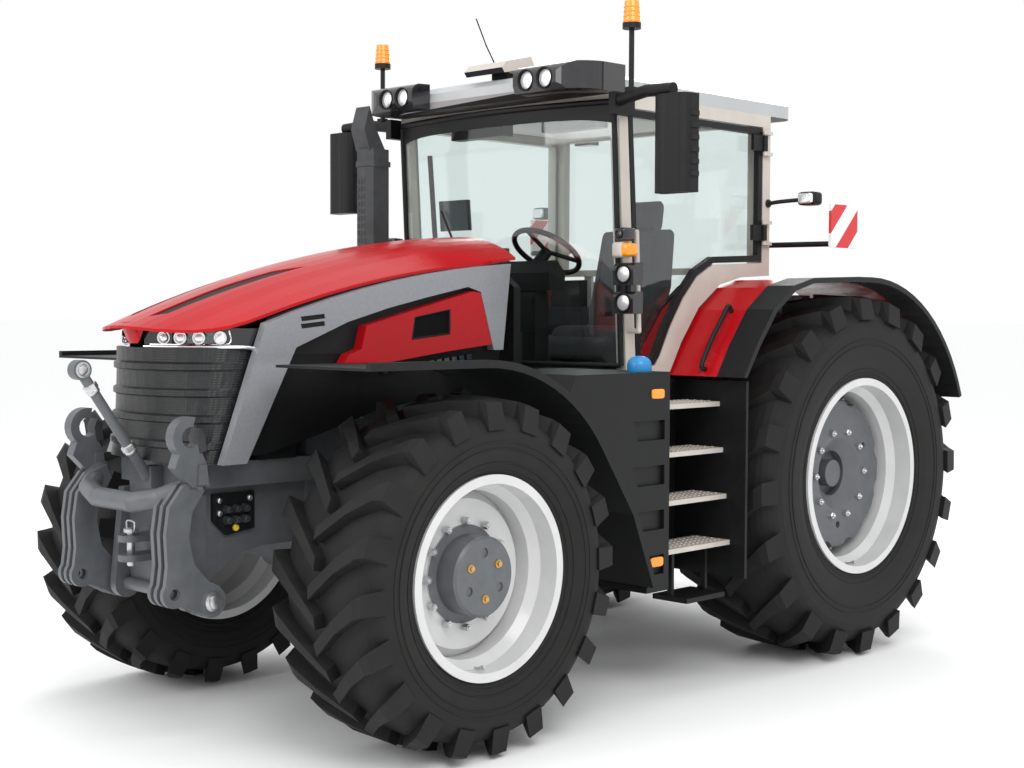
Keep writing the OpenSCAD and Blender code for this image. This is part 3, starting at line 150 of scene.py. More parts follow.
def striped_material(red, white, width):
    """Slanted red and white stripes of a marker board."""
    m = material("board", white, 0.4, vary=0.04, scale=30, coat=0.2)
    nodes, links = m.node_tree.nodes, m.node_tree.links
    place = nodes.new("ShaderNodeTexCoord")
    split = nodes.new("ShaderNodeSeparateXYZ")
    slant = nodes.new("ShaderNodeMath")
    slant.operation = "ADD"
    fold = nodes.new("ShaderNodeMath")
    fold.operation = "PINGPONG"
    fold.inputs[1].default_value = width
    step = nodes.new("ShaderNodeMath")
    step.operation = "GREATER_THAN"
    step.inputs[1].default_value = width / 2
    mix = nodes.new("ShaderNodeMix")
    mix.data_type = "RGBA"
    mix.inputs["A"].default_value = (*white, 1)
    mix.inputs["B"].default_value = (*red, 1)
    links.new(place.outputs["Object"], split.inputs[0])
    links.new(split.outputs["X"], slant.inputs[0])
    links.new(split.outputs["Z"], slant.inputs[1])
    links.new(slant.outputs[0], fold.inputs[0])
    links.new(fold.outputs[0], step.inputs[0])
    links.new(step.outputs[0], mix.inputs["Factor"])
    links.new(mix.outputs["Result"], nodes["Principled BSDF"].inputs["Base Color"])
    return m


def mesh_material():
    """Woven black grille mesh."""
    m = material("grille_mesh", (0.011, 0.0115, 0.0125), 0.36, vary=0.2, scale=40, shine=0.45)
    nodes, links = m.node_tree.nodes, m.node_tree.links
    place = nodes.new("ShaderNodeTexCoord")
    weave = nodes.new("ShaderNodeMath")
    weave.operation = "MAXIMUM"
    for k, axis in enumerate("YZ"):
        wires = nodes.new("ShaderNodeTexWave")
        wires.bands_direction = axis
        wires.inputs["Scale"].default_value = 28.0
        links.new(place.outputs["Object"], wires.inputs["Vector"])
        links.new(wires.outputs["Fac"], weave.inputs[k])
    add_bump(m, weave.outputs[0], 0.22, 0.005)
    return m


MATERIALS = {
    "red": material("red_paint", (0.42, 0.004, 0.008), 0.26, shine=0.18, vary=0.05, scale=3,
                    bump=0.02, bump_scale=90, coat=0.1),
    "silver": material("silver_paint", (0.27, 0.28, 0.3), 0.34, metal=0.35, vary=0.06, scale=60, coat=0.3),
    "black": material("black_plastic", (0.0065, 0.0068, 0.0075), 0.5, shine=0.28, vary=0.25, scale=25,
                      bump=0.25, bump_scale=500),
    "gloss": material("lamp_black", (0.012, 0.012, 0.014), 0.16, vary=0.2, scale=40, coat=0.5),
    "cast": material("grey_casting", (0.105, 0.112, 0.12), 0.42, metal=0.1, vary=0.12, scale=12,
                     bump=0.18, bump_scale=120),
    "beige": material("beige_paint", (0.52, 0.48, 0.43), 0.4, vary=0.05, scale=8,
                      bump=0.03, bump_scale=150, coat=0.15),
    "roof": material("roof_plastic", (0.42, 0.435, 0.44), 0.36, vary=0.04, scale=5,
                     bump=0.04, bump_scale=250, coat=0.2),
    "white": material("rim_paint", (0.6, 0.6, 0.6), 0.32, vary=0.05, scale=6,
                      bump=0.03, bump_scale=100, coat=0.25),
    "tyre": material("tyre", (0.0095, 0.0092, 0.0088), 0.68, shine=0.3, vary=0.3, scale=9,
                     bump=0.3, bump_scale=260),
    "cloth": material("seat_cloth", (0.045, 0.046, 0.05), 0.92, vary=0.35, scale=350,
                      bump=0.5, bump_scale=900),
    "steel": material("dark_steel", (0.05, 0.052, 0.055), 0.45, metal=0.3, vary=0.2, scale=18,
                      bump=0.1, bump_scale=160),
    "zinc": material("zinc", (0.55, 0.55, 0.56), 0.3, metal=0.9, vary=0.15, scale=50),
    "brass": material("brass", (0.55, 0.35, 0.12), 0.32, metal=0.9, vary=0.15, scale=60),
    "chrome": material("chrome", (0.8, 0.8, 0.82), 0.08, metal=1.0, vary=0.04, scale=20),
    "amber": material("amber", (0.95, 0.3, 0.01), 0.2, vary=0.1, scale=80, coat=0.5),
    "redlens": material("red_lens", (0.5, 0.01, 0.01), 0.18, vary=0.1, scale=90, coat=0.5),
    "lens": material("clear_lens", (0.86, 0.87, 0.88), 0.14, metal=0.5, vary=0.08, scale=140,
                     bump=0.3, bump_scale=160, coat=0.6),
    "blue": material("blue_cap", (0.02, 0.24, 0.55), 0.3, vary=0.1, scale=60, bump=0.1, bump_scale=300),
    "brown": material("dash_brown", (0.2, 0.035, 0.02), 0.5, vary=0.15, scale=40,
                      bump=0.15, bump_scale=400),
    "screen": material("screen", (0.01, 0.014, 0.02), 0.1, vary=0.3, scale=15, coat=0.6),
    "yellow": material("yellow_dot", (0.8, 0.55, 0.03), 0.4, vary=0.1, scale=60),
    "mirror": material("mirror_glass", (0.75, 0.78, 0.8), 0.04, metal=1.0, vary=0.02, scale=8),
    "mesh": mesh_material(),
    "glass": glass_material(),
    "board": striped_material((0.6, 0.012, 0.015), (0.82, 0.82, 0.82), 0.13),
}


# Materials of the CAD nodes
def dress(node, main, other=None, pick=None):
    """Give a node one material, and another on the faces that pick chooses by centre and normal."""
    mesh = NODES[node].data
    mesh.materials.clear()
    mesh.materials.append(MATERIALS[main])
    if other:
        mesh.materials.append(MATERIALS[other])
    for face in mesh.polygons:
        face.material_index = 1 if other and pick(face.center, face.normal) else 0


HOOD_LONG_R = 6.190
HOOD_CROSS_R = 0.8
HOOD_CENTRE = (1.76, -3.757)


def hood_depth(c):
    """How far below the hood's crown a point lies."""
    y = min(abs(c.y), 0.7)
    r = HOOD_LONG_R - HOOD_CROSS_R + math.sqrt(HOOD_CROSS_R ** 2 - y * y)
    x0, z0 = HOOD_CENTRE
    return z0 + math.sqrt(r * r - (c.x - REAR_AXLE_X - x0) ** 2) - c.z


def in_crown_slot(c, n):
    return n.z > 0.3 and 0.003 < hood_depth(c) < 0.009 and abs(c.y) < 0.2


def sunk_side(face_y):
    """Chooses outward faces that lie deeper than the panel's outer face."""
    return lambda c, n: abs(n.y) > 0.9 and abs(c.y) < face_y and n.y * c.y > 0


def below(height):
    return lambda c, n: c.z < height


def grey_middle(axle):
    """Chooses the faces near a wheel's axis, which are grey like the castings."""
    centre, grey_r = wheel_centre(axle, 0), WHEELS[axle]["grey_r"]
    return lambda c, n: math.hypot(c.x - centre.x, c.z - centre.z) < grey_r


PLAIN_NODES = {
    "red": ("rear_fenders",),
    "mesh": ("grille",),
    "black": ("hood_sides", "tanks", "front_fenders", "step_housing", "fender_flares", "cowl",
              "driver_console", "mirrors", "radiator", "door_frame", "cab_tub"),
    "cast": ("rear_transaxle", "engine_block", "front_frame", "front_axle", "rear_hitch", "front_top_link",
             "tow_clevis", "front_left_knuckle", "front_right_knuckle", "front_lift_arms", "lower_links",
             "lift_arms", "lift_rods"),
    "beige": ("cab_frame", "hand_rails"),
    "glass": ("cab_glass", "door_glass"),
    "cloth": ("seat",),
    "steel": ("exhaust_stack",),
    "gloss": ("work_lamps", "headlamps"),
    "tyre": tuple(f"{axle}_{side}_tyre" for axle in WHEELS for side, _ in SIDES),
}
for mat, nodes in PLAIN_NODES.items():
    for node in nodes:
        dress(node, mat)
dress("hood_top", "red", "black", in_crown_slot)
dress("vent_panels", "red", "black", sunk_side(0.4845))
dress("hood_bands", "silver", "black", sunk_side(0.4815))
dress("receiver", "beige", "black", below(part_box("receiver")[0].z + 0.036))
dress("cab_roof", "roof", "black", below(3.19))
dress("step_treads", "beige", "black", below(0.77))
dress("beacons", "amber", "black", below(3.51))
BOARD_FACE_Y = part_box("marker_board")[1].y - 0.02
dress("marker_board", "black", "board", lambda c, n: abs(c.y) > BOARD_FACE_Y)
for axle in WHEELS:
    for side, _ in SIDES:
        dress(f"{axle}_{side}_wheel", "white", "cast", grey_middle(axle))

# Mesh helpers
SHARP_ANGLE = math.radians(40)
BEVEL_ANGLE = 0.6


def piece(name, bm, mat, body, smooth=True, bevel=0.0):
    """Turn a mesh under construction into a named piece that rides on a body."""
    if bevel:
        edges = [e for e in bm.edges if len(e.link_faces) == 2 and e.calc_face_angle(0) > BEVEL_ANGLE]
        bmesh.ops.bevel(bm, geom=edges, offset=bevel, segments=2, affect="EDGES", clamp_overlap=True)
    bmesh.ops.recalc_face_normals(bm, faces=bm.faces)
    mesh = bpy.data.meshes.new(name)
    bm.to_mesh(mesh)
    bm.free()
    mesh.materials.append(MATERIALS[mat])
    if smooth:
        for face in mesh.polygons:
            face.use_smooth = True
        mesh.set_sharp_from_angle(angle=SHARP_ANGLE)
    o = bpy.data.objects.new(name, mesh)
    bpy.context.scene.collection.objects.link(o)
    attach(o, body)


def basis(axis):
    z = Vector(axis).normalized()
    x = z.orthogonal().normalized()
    return x, z.cross(x), z


def loft(bm, rings, closed=False):
    """Skin a row of rings, with end caps unless the row closes on itself."""
    rows = [[bm.verts.new(p) for p in ring] for ring in rings]
    n = len(rows[0])
    pairs = list(zip(rows, rows[1:])) + ([(rows[-1], rows[0])] if closed else [])
    for a, b in pairs:
        for i in range(n):
            bm.faces.new((a[i], a[(i + 1) % n], b[(i + 1) % n], b[i]))
    if not closed:
        bm.faces.new(rows[0][::-1])
        bm.faces.new(rows[-1])


def lathe(bm, origin, axis, profile, n=24):
    """A turned body; profile is (radius, height) pairs along the axis."""
    x, y, z = basis(axis)
    o = Vector(origin)
    loft(bm, [[o + z * h + (x * math.cos(t) + y * math.sin(t)) * r for t in angles(n)] for r, h in profile])


def tube(bm, points, r, n=10):
    points = [Vector(p) for p in points]
    rings = []
    across = None
    for i, p in enumerate(points):
        d = (points[min(i + 1, len(points) - 1)] - points[max(i - 1, 0)]).normalized()
        x, y, _ = basis(d)
        if across is not None:
            x = (across - d * across.dot(d)).normalized()
            y = d.cross(x)
        across = x
        rings.append([p + (x * math.cos(t) + y * math.sin(t)) * r for t in angles(n)])
    loft(bm, rings)


def smooth_path(points, n=8):
    """A rounded line through the points."""
    p = [Vector(q) for q in points]
    p = [p[0]] + p + [p[-1]]
    line = []
    for i in range(1, len(p) - 2):
        a, b, c, d = p[i - 1:i + 3]
        for k in range(n):
            t = k / n
            line.append(0.5 * ((2 * b) + (c - a) * t + (2 * a - 5 * b + 4 * c - d) * t * t
                               + (3 * b - a - 3 * c + d) * t ** 3))
    return line + [p[-2]]


def plate(bm, outline, shift):
    """A flat outline of points, thickened by the shift vector."""
    s = Vector(shift)
    loft(bm, [[Vector(p) for p in outline], [Vector(p) + s for p in outline]])


def block(bm, low, high):
    (x0, y0, z0), (x1, y1, z1) = low, high
    plate(bm, [(x0, y0, z0), (x1, y0, z0), (x1, y1, z0), (x0, y1, z0)], (0, 0, z1 - z0))


def hex_nut(bm, origin, axis, r, h, turn=0.0):
    x, y, z = basis(axis)
    o = Vector(origin)
    loft(bm, [[o + z * k + (x * math.cos(t) + y * math.sin(t)) * q for t in angles(6, turn)]
              for q, k in ((r, 0), (r, h * 0.85), (r * 0.86, h))])


def squared(v, power):
    """A cosine or sine bent towards a rounded square."""
    return math.copysign(abs(v) ** power, v)


POD_ENDS = ((0.0, 0.8), (0.06, 0.93), (0.18, 1.0), (0.82, 1.0), (0.94, 0.93), (1.0, 0.8))


def pod(bm, low, high, axis, power=0.4, n=32, ends=POD_ENDS):
    """A rounded housing between two corners; ends gives (place along the axis, width) pairs."""
    mid, half = (low + high) / 2, (high - low) / 2
    u, v = [k for k in range(3) if k != axis]
    rings = []
    for t, width in ends:
        ring = []
        for a in angles(n, math.pi / n):
            p = mid.copy()
            p[axis] = low[axis] + (high[axis] - low[axis]) * t
            p[u] += width * half[u] * squared(math.cos(a), power)
            p[v] += width * half[v] * squared(math.sin(a), power)
            ring.append(p)
        rings.append(ring)
    loft(bm, rings)


def lens_ends(shoulder):
    """Ends of a flat lens that is rounded on its outer face only."""
    return ((0.0, 1.0), (0.5, 1.0), (0.8, shoulder), (1.0, 0.8))


# Wheels
def wheel_nuts(bm, centre, out, count, circle, face, r, stud):
    """Nuts on a circle, each with its stud end; face is the nut seat's distance from the wheel's middle."""
    for a in angles(count):
        foot = centre + spoke(a) * circle
        hex_nut(bm, foot + out * face, out, r, 0.03, a)
        stud_r, stud_tip_r, stud_foot, stud_tip = stud
        lathe(bm, foot + out * stud_foot, out, [(stud_r, 0), (stud_r, 0.04), (stud_tip_r, stud_tip)], 10)


def wheel_fittings(side, s):
    """Nuts, hub plugs and valves of the two wheels on one side."""
    out = Vector((0, s, 0))
    centre = wheel_centre("front", s)
    bm = bmesh.new()
    wheel_nuts(bm, centre, out, 12, 0.245, 0.096, 0.018, (0.008, 0.006, 0.09, 0.042))
    piece(f"front_{side}_nuts", bm, "zinc", f"front_{side}_rolling", False)
    bm = bmesh.new()
    plug = [(0.02, 0), (0.02, 0.008), (0.012, 0.01), (0.012, 0.02)]
    for a in angles(3, 0.5):
        lathe(bm, centre + spoke(a) * 0.1 + out * 0.222, out, plug, 12)
    piece(f"front_{side}_plugs", bm, "brass", f"front_{side}_rolling")
    centre = wheel_centre("rear", s)
    bm = bmesh.new()
    wheel_nuts(bm, centre, out, 10, 0.255, 0.142, 0.021, (0.01, 0.008, 0.14, 0.043))
    for a in angles(24, math.pi / 24):
        hex_nut(bm, centre + spoke(a) * 0.465 + out * 0.047, out, 0.012, 0.018, a)
    piece(f"rear_{side}_nuts", bm, "zinc", f"rear_{side}_rolling", False)
    valve = [(0.008, 0), (0.008, 0.03), (0.005, 0.034), (0.005, 0.07), (0.009, 0.072), (0.009, 0.09)]
    for axle, w in WHEELS.items():
        bm = bmesh.new()
        foot = wheel_centre(axle, s) - Vector((0, 0, w["rim_r"] - 0.03)) + out * (w["rim_half"] - 0.13)
        lathe(bm, foot, Vector((0, s, 0.25)), valve, 12)
        piece(f"{axle}_{side}_valve", bm, "zinc", f"{axle}_{side}_rolling")


for side, s in SIDES:
    wheel_fittings(side, s)


# Hood
def vent_mesh(side, s):
    """Crossed wires in a frame, over the opening of the red vent panel."""
    wire_y, frame_y = 0.489, 0.496
    first_x, pitch, step, back_shift = 2.40, 0.014, 0.002, 0.17
    corners = [(2.562, 1.907), (2.818, 1.882), (2.798, 1.988), (2.562, 2.028)]

    def inside(x, z):
        return 2.566 < x < 2.812 and 1.91 - (x - 2.56) * 0.096 < z < 2.026 - (x - 2.56) * 0.167

    bm = bmesh.new()
    for k in (-1, 1):
        for i in range(40):
            x0 = first_x + pitch * i
            run = [(x0 + (step * t if k > 0 else back_shift - step * t), 1.87 + step * t) for t in range(90)]
            run = [p for p in run if inside(*p)]
            if len(run) > 4:
                y = s * (wire_y + 0.002 * k)
                tube(bm, [at(x, y, z) for x, z in (run[0], run[-1])], 0.002, 5)
    for a, b in zip(corners, corners[1:] + corners[:1]):
        tube(bm, [at(x, s * frame_y, z) for x, z in (a, b)], 0.006, 8)
    piece(f"vent_mesh_{side}", bm, "black", "hood")


def side_louvres(side, s):
    """Slanted slots below the vent panel."""
    y, x0, pitch = s * 0.424, 2.36, 0.052
    slot = [(0, 0), (0.034, -0.004), (0.030, -0.03), (-0.004, -0.026)]
    bm = bmesh.new()
    for i in range(12):
        z = 1.80 - pitch * i * 0.10
        plate(bm, [at(x0 + pitch * i + dx, y, z + dz) for dx, dz in slot], (0, s * 0.022, 0))
    piece(f"side_louvres_{side}", bm, "gloss", "hood", bevel=0.002)


for side, s in SIDES:
    vent_mesh(side, s)
    side_louvres(side, s)

LAMP_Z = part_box("headlamps")[0].z
LAMP_FACE = [(3.828, 0.394), (3.905, 0.317), (3.974, 0.245), (4.012, 0.165), (4.043, 0.085)]
LAMP_UNITS = [(3.862, 0.366), (3.93, 0.296), (3.984, 0.228), (4.02, 0.15)]
LAMP_EDGE = [(3.664, 0.449), (3.812, 0.421), (3.986, 0.254), (4.064, 0.066)]


def lamp_units(s, back, profile):
    """One turned part at each light unit, set back from the lamp's face."""
    bm = bmesh.new()
    for x, y in LAMP_UNITS:
        lathe(bm, at(x - back, s * y, LAMP_Z + 0.045), Vector((0.8, s * 0.6, 0)), profile, 24)
    return bm


def headlamp(side, s):
    """Lens strip, light units with their bulbs, inner frames and the chrome line below."""
    bm = bmesh.new()
    rows = [[at(x, s * y, LAMP_Z + z) for z in (0.018, 0.045, 0.072)] for x, y in LAMP_FACE]
    loft(bm, [row + [p - Vector((0.006, s * 0.004, 0)) for p in row[::-1]] for row in rows])
    piece(f"headlamp_lens_{side}", bm, "glass", "hood")
    bm = lamp_units(s, 0.012, [(0.02, 0), (0.029, 0.012), (0.03, 0.021), (0.025, 0.021), (0.023, 0.012)])
    piece(f"headlamp_units_{side}", bm, "chrome", "hood")
    bm = lamp_units(s, 0.006, [(0.024, 0), (0.023, 0.008), (0.017, 0.013), (0.008, 0.016), (0.001, 0.017)])
    piece(f"headlamp_bulbs_{side}", bm, "lens", "hood")
    bm = bmesh.new()
    for i in (0, 2):
        a, b, c = [(x + 0.003, s * (y + 0.003)) for x, y in LAMP_FACE[i:i + 3]]
        corners = [(a, 0.078), (a, 0.02), (b, 0.014), (c, 0.014)]
        tube(bm, smooth_path([at(x, y, LAMP_Z + z) for (x, y), z in corners], 5), 0.004, 8)
    piece(f"headlamp_frames_{side}", bm, "chrome", "hood")
    bm = bmesh.new()
    line = [at(3.664, s * 0.448, LAMP_Z + 0.092)] + [at(x, s * y, LAMP_Z + 0.004) for x, y in LAMP_EDGE]
    tube(bm, smooth_path(line, 6), 0.009)
    piece(f"headlamp_trim_{side}", bm, "chrome", "hood")


def nose_chin():
    """Red chin between the headlamps; each section is (rear x, front x, z, half width)."""
    sections = ((4.075, 4.125, 1.965, 0.10), (4.078, 4.112, 1.93, 0.082), (4.08, 4.10, 1.89, 0.06),
                (4.078, 4.088, 1.868, 0.035))
    bm = bmesh.new()
    rings = []
    for x0, x1, z, half in sections:
        outline = ((x0, -half), (x1 - 0.012, -half * 0.7), (x1, 0), (x1 - 0.012, half * 0.7), (x0, half))
        rings.append([at(x, y, z) for x, y in outline])
    loft(bm, rings)
    piece("nose_chin", bm, "red", "hood", bevel=0.004)


for side, s in SIDES:
    headlamp(side, s)
nose_chin()

# Lamps of the cab
ROOF_LAMP_YS = (0.49, 0.625)
ROOF_LAMP_Z = 3.2363
PILLAR_LAMP_Y = 0.94
PILLAR_LAMP_ZS = (2.068, 2.218)


def work_lamps(side, s):
    """Lenses of the lamps on roof corner, front pillar and roof rear, with rims on the front ones."""
    roof_lens = [(0.049, 0), (0.049, 0.008), (0.044, 0.012), (0.02, 0.015), (0.004, 0.016)]
    pillar_lens = [(0.045, 0), (0.045, 0.006), (0.04, 0.01), (0.004, 0.013)]
    rear_lens = [(0.026, 0), (0.026, 0.006), (0.02, 0.009), (0.003, 0.01)]
    roof_rim = [(0.056, 0.0), (0.058, 0.016), (0.054, 0.02), (0.05, 0.016), (0.05, 0.0)]
    pillar_rim = [(0.052, 0), (0.054, 0.012), (0.049, 0.014), (0.047, 0.004)]

    def fronts(bm, roof_x, roof_profile, pillar_x, pillar_profile):
        for y in ROOF_LAMP_YS:
            lathe(bm, at(roof_x, s * y, ROOF_LAMP_Z), (1, 0, 0), roof_profile, 28)
        for z in PILLAR_LAMP_ZS:
            lathe(bm, at(pillar_x, s * PILLAR_LAMP_Y, z), (1, 0, 0), pillar_profile, 28)

    bm = bmesh.new()
    fronts(bm, 1.991, roof_lens, 1.727, pillar_lens)
    lathe(bm, at(0.232, s * 0.63, 3.139), (-1, 0, 0), rear_lens, 24)
    piece(f"work_lamp_lenses_{side}", bm, "lens", "chassis")
    bm = bmesh.new()
    fronts(bm, 2.0, roof_rim, 1.733, pillar_rim)
    piece(f"work_lamp_rims_{side}", bm, "black", "chassis")


def pillar_cluster(side, s):
    """Indicator at the end of its light housing on the front pillar, camera pod above it."""
    bm = bmesh.new()
    pod(bm, at(1.66, s * 0.928, 2.309), at(1.745, s * 0.985, 2.381), 1,
        ends=((0.0, 1.0), (0.5, 1.0), (0.75, 0.94), (0.92, 0.8), (1.0, 0.62)))
    piece(f"pillar_indicator_{side}", bm, "amber", "chassis")
    bm = bmesh.new()
    pod(bm, at(1.655, s * 0.866, 2.303), at(1.75, s * 0.936, 2.387), 1)
    piece(f"pillar_housing_{side}", bm, "beige", "chassis")
    bm = bmesh.new()
    pod(bm, at(1.645, s * 0.872, 2.39), at(1.738, s * 0.95, 2.462), 0)
    lathe(bm, at(1.734, s * 0.911, 2.426), (1, 0, 0),
          [(0.024, 0), (0.024, 0.01), (0.02, 0.012), (0.018, 0.006), (0.001, 0.009)], 24)
    piece(f"camera_pod_{side}", bm, "gloss", "chassis")


for side, s in SIDES:
    work_lamps(side, s)
    pillar_cluster(side, s)


def mirror_glass(side, s):
    """A wide-angle glass below the main glass, on the rear of the mirror."""
    x = 1.721
    y0, y1 = sorted((s * 1.204, s * 1.39))
    bm = bmesh.new()
    for z0, z1 in ((2.642, 2.776), (2.804, 3.09)):
        plate(bm, [at(x, y0, z0), at(x, y1, z0), at(x, y1, z1), at(x, y0, z1)], (-0.004, 0, 0))
    piece(f"mirror_glass_{side}", bm, "mirror", "chassis", False, bevel=0.0015)


for side, s in SIDES:
    mirror_glass(side, s)

# Windscreen, which is bowed across and leans forward towards its top
SCREEN_FOOT = (1.61, 1.66)
SCREEN_LEAN = 0.08 / 1.51
SCREEN_BULGE = 0.110
SCREEN_HALF = 0.854
SCREEN_R = (SCREEN_HALF ** 2 + SCREEN_BULGE ** 2) / (2 * SCREEN_BULGE)
SCREEN_LOW, SCREEN_TOP = 1.735, 3.125


def screen_point(y, z, out=0.0):
    """A point on the windscreen, moved forward by out."""
    x0, z0 = SCREEN_FOOT
    bow = SCREEN_BULGE - SCREEN_R + math.sqrt(SCREEN_R ** 2 - y * y)
    return at(x0 + (z - z0) * SCREEN_LEAN + bow + out, y, z)


def windscreen_trim():
    """Gasket, dark band along the top and wiper."""
    bm = bmesh.new()
    for z, r in ((SCREEN_LOW, 0.013), (SCREEN_TOP, 0.016)):
        tube(bm, [screen_point(-0.83 + 0.083 * i, z, 0.012) for i in range(21)], r)
    for _, s in SIDES:
        tube(bm, [screen_point(s * 0.835, SCREEN_LOW + 0.139 * i, 0.008) for i in range(11)], 0.015)
    piece("windscreen_gasket", bm, "black", "chassis")
    bm = bmesh.new()
    rings = []
    band_half, band_low = 0.82, 3.045
    for i in range(33):
        y = -band_half + 2 * band_half * i / 32
        low = band_low - 0.03 * (abs(y) / band_half) ** 6
        corners = ((low, 0.006), (SCREEN_TOP, 0.006), (SCREEN_TOP, 0.009), (low, 0.009))
        rings.append([screen_point(y, z, out) for z, out in corners])
    loft(bm, rings)
    piece("screen_band", bm, "black", "chassis")
    bm = bmesh.new()
    pivot = screen_point(0.0, 1.76, 0.03)
    tube(bm, [pivot, screen_point(-0.18, 2.1, 0.035), screen_point(-0.26, 2.3, 0.026)], 0.008)
    tube(bm, [screen_point(y, z, 0.022) for y, z in ((-0.10, 2.05), (-0.26, 2.32), (-0.42, 2.6))], 0.007)
    lathe(bm, pivot - Vector((0.02, 0, 0)), (1, 0, 0), [(0.02, 0), (0.02, 0.03), (0.012, 0.04)], 16)
    piece("wiper", bm, "black", "chassis")


windscreen_trim()


def side_lamp(side, s):
    """Lamp on a stalk behind the cab's rear pillar."""
    stalk = [at(0.33, s * 0.855, 2.66), at(0.30, s * 0.92, 2.67), at(0.24, s * 1.02, 2.68)]
    bm = bmesh.new()
    tube(bm, smooth_path(stalk, 6), 0.012)
    pod(bm, at(0.17, s * 1.01, 2.645), at(0.265, s * 1.13, 2.725), 0)
    lathe(bm, at(0.34, s * 0.862, 2.66), (0, s, 0), [(0.024, -0.006), (0.024, 0.008), (0.018, 0.012)], 16)
    piece(f"side_lamp_{side}", bm, "black", "chassis")
    bm = bmesh.new()
    pod(bm, at(0.258, s * 1.02, 2.655), at(0.275, s * 1.12, 2.715), 0, ends=lens_ends(0.93))
    piece(f"side_lamp_lens_{side}", bm, "lens", "chassis")


for side, s in SIDES:
    side_lamp(side, s)


def rear_window_gasket():
    top_z, r = 3.135, 0.012
    bm = bmesh.new()
    tube(bm, [at(0.335, y, top_z) for y in (-0.755, 0.0, 0.755)], r)
    for _, s in SIDES:
        tube(bm, [at(0.318, s * 0.757, z) for z in (2.27, 2.7, top_z)], r)
    piece("rear_window_gasket", bm, "black", "chassis")


rear_window_gasket()


# Cab interior
def roof_lining():
    """Lining that hangs lowest in its middle; sections are (x, drop) pairs."""
    half, top, edge = 0.76, 3.166, 3.152
    sections = ((0.40, 0.0), (0.43, 0.018), (0.52, 0.028), (0.80, 0.034), (1.20, 0.034), (1.48, 0.028),
                (1.57, 0.018), (1.60, 0.0))
    steps = [k / 8 for k in range(8, -9, -1)]
    bm = bmesh.new()
    loft(bm, [[at(x, -half, top), at(x, half, top)]
              + [at(x, half * t, edge - drop * (1 - t ** 4)) for t in steps] for x, drop in sections])
    piece("roof_lining", bm, "beige", "chassis")


def radio_panel():
    """Two overhead panels with knobs on their rear faces."""
    left_x, right_x = 1.50, 1.42
    knob = [(0.02, 0), (0.018, 0.014), (0.014, 0.02), (0.012, 0.018), (0.001, 0.018)]
    bm = bmesh.new()
    block(bm, at(left_x, 0.20, 3.02), at(left_x + 0.08, 0.62, 3.112))
    block(bm, at(right_x, -0.62, 3.04), at(right_x + 0.08, -0.18, 3.112))
    for x, ys in ((left_x, (0.26, 0.34, 0.56)), (right_x, (-0.56, -0.24))):
        for y in ys:
            lathe(bm, at(x + 0.004, y, 3.072), (-1, 0, 0), knob, 20)
    piece("radio_panel", bm, "black", "chassis", bevel=0.012)


def dash():
    half = 0.25
    outline = ((1.44, 2.14), (1.56, 2.14), (1.565, 2.24), (1.50, 2.31), (1.43, 2.24))
    bm = bmesh.new()
    plate(bm, [at(x, -half, z) for x, z in outline], (0, 2 * half, 0))
    piece("dash_top", bm, "black", "chassis", bevel=0.02)
    bm = bmesh.new()
    for y in (-0.18, 0.10):
        block(bm, at(1.432, y, 2.16), at(1.442, y + 0.08, 2.23))
    piece("dash_switches", bm, "brown", "chassis", bevel=0.004)


def monitors():
    """Two screens: one on an arm from the armrest, one on the rail at the right pillar."""
    rail_y = -0.70
    screens = ((1.25, -0.62, -0.36, 2.2, 2.4, 0.035), (1.50, -0.68, -0.44, 2.5, 2.68, 0.03))
    bm = bmesh.new()
    tube(bm, smooth_path([at(1.02, -0.42, 1.98), at(1.10, -0.46, 2.1), at(1.24, -0.48, 2.24)], 6), 0.015)
    tube(bm, [at(1.50, rail_y, 2.0), at(1.56, rail_y, 2.5), at(1.6, rail_y, 2.95)], 0.016)
    tube(bm, smooth_path([at(1.545, rail_y, 2.38), at(1.53, -0.56, 2.39), at(1.51, -0.30, 2.36),
                          at(1.50, -0.16, 2.28)], 6), 0.012)
    piece("monitor_rail", bm, "black", "chassis")
    bm = bmesh.new()
    for x, y0, y1, z0, z1, depth in screens:
        lean = x + 0.015
        plate(bm, [at(x, y0, z0), at(x, y1, z0), at(lean, y1, z1), at(lean, y0, z1)], (depth, 0, 0))
    piece("monitors", bm, "screen", "chassis", bevel=0.008)


def armrest_levers():
    lever = [(0.006, 0), (0.006, 0.06), (0.016, 0.07), (0.02, 0.10), (0.012, 0.13)]
    bm = bmesh.new()
    for x, y in ((0.96, -0.31), (1.00, -0.37), (1.04, -0.33)):
        lathe(bm, at(x, y, 2.05), (0.15, 0, 1), lever, 14)
    piece("armrest_levers", bm, "brown", "chassis")


def floor_mat():
    """Rubber mat with ribs along the cab."""
    rib_x, rib_length, rib_pitch = 0.70, 0.83, 0.042
    rib = ((-0.009, 1.519), (0.009, 1.519), (0.006, 1.525), (-0.006, 1.525))
    bm = bmesh.new()
    block(bm, at(0.68, -0.50, 1.512), at(1.55, 0.52, 1.520))
    for k in range(24):
        y = -0.475 + rib_pitch * k
        plate(bm, [at(rib_x, y + dy, z) for dy, z in rib], (rib_length, 0, 0))
    piece("floor_mat", bm, "tyre", "chassis")


roof_lining()
radio_panel()
dash()
monitors()
armrest_levers()
floor_mat()


# Roof, tank and fender fittings
def beacon_ribs():
    bm = bmesh.new()
    for _, s in SIDES:
        for k in range(4):
            r = 0.0462 - 0.0017 * k
            foot = at(1.73, s * 0.98, 3.515 + 0.024 * k)
            lathe(bm, foot, (0, 0, 1), [(r, 0), (r + 0.003, 0.003), (r, 0.007)], 28)
    piece("beacon_ribs", bm, "amber", "chassis")


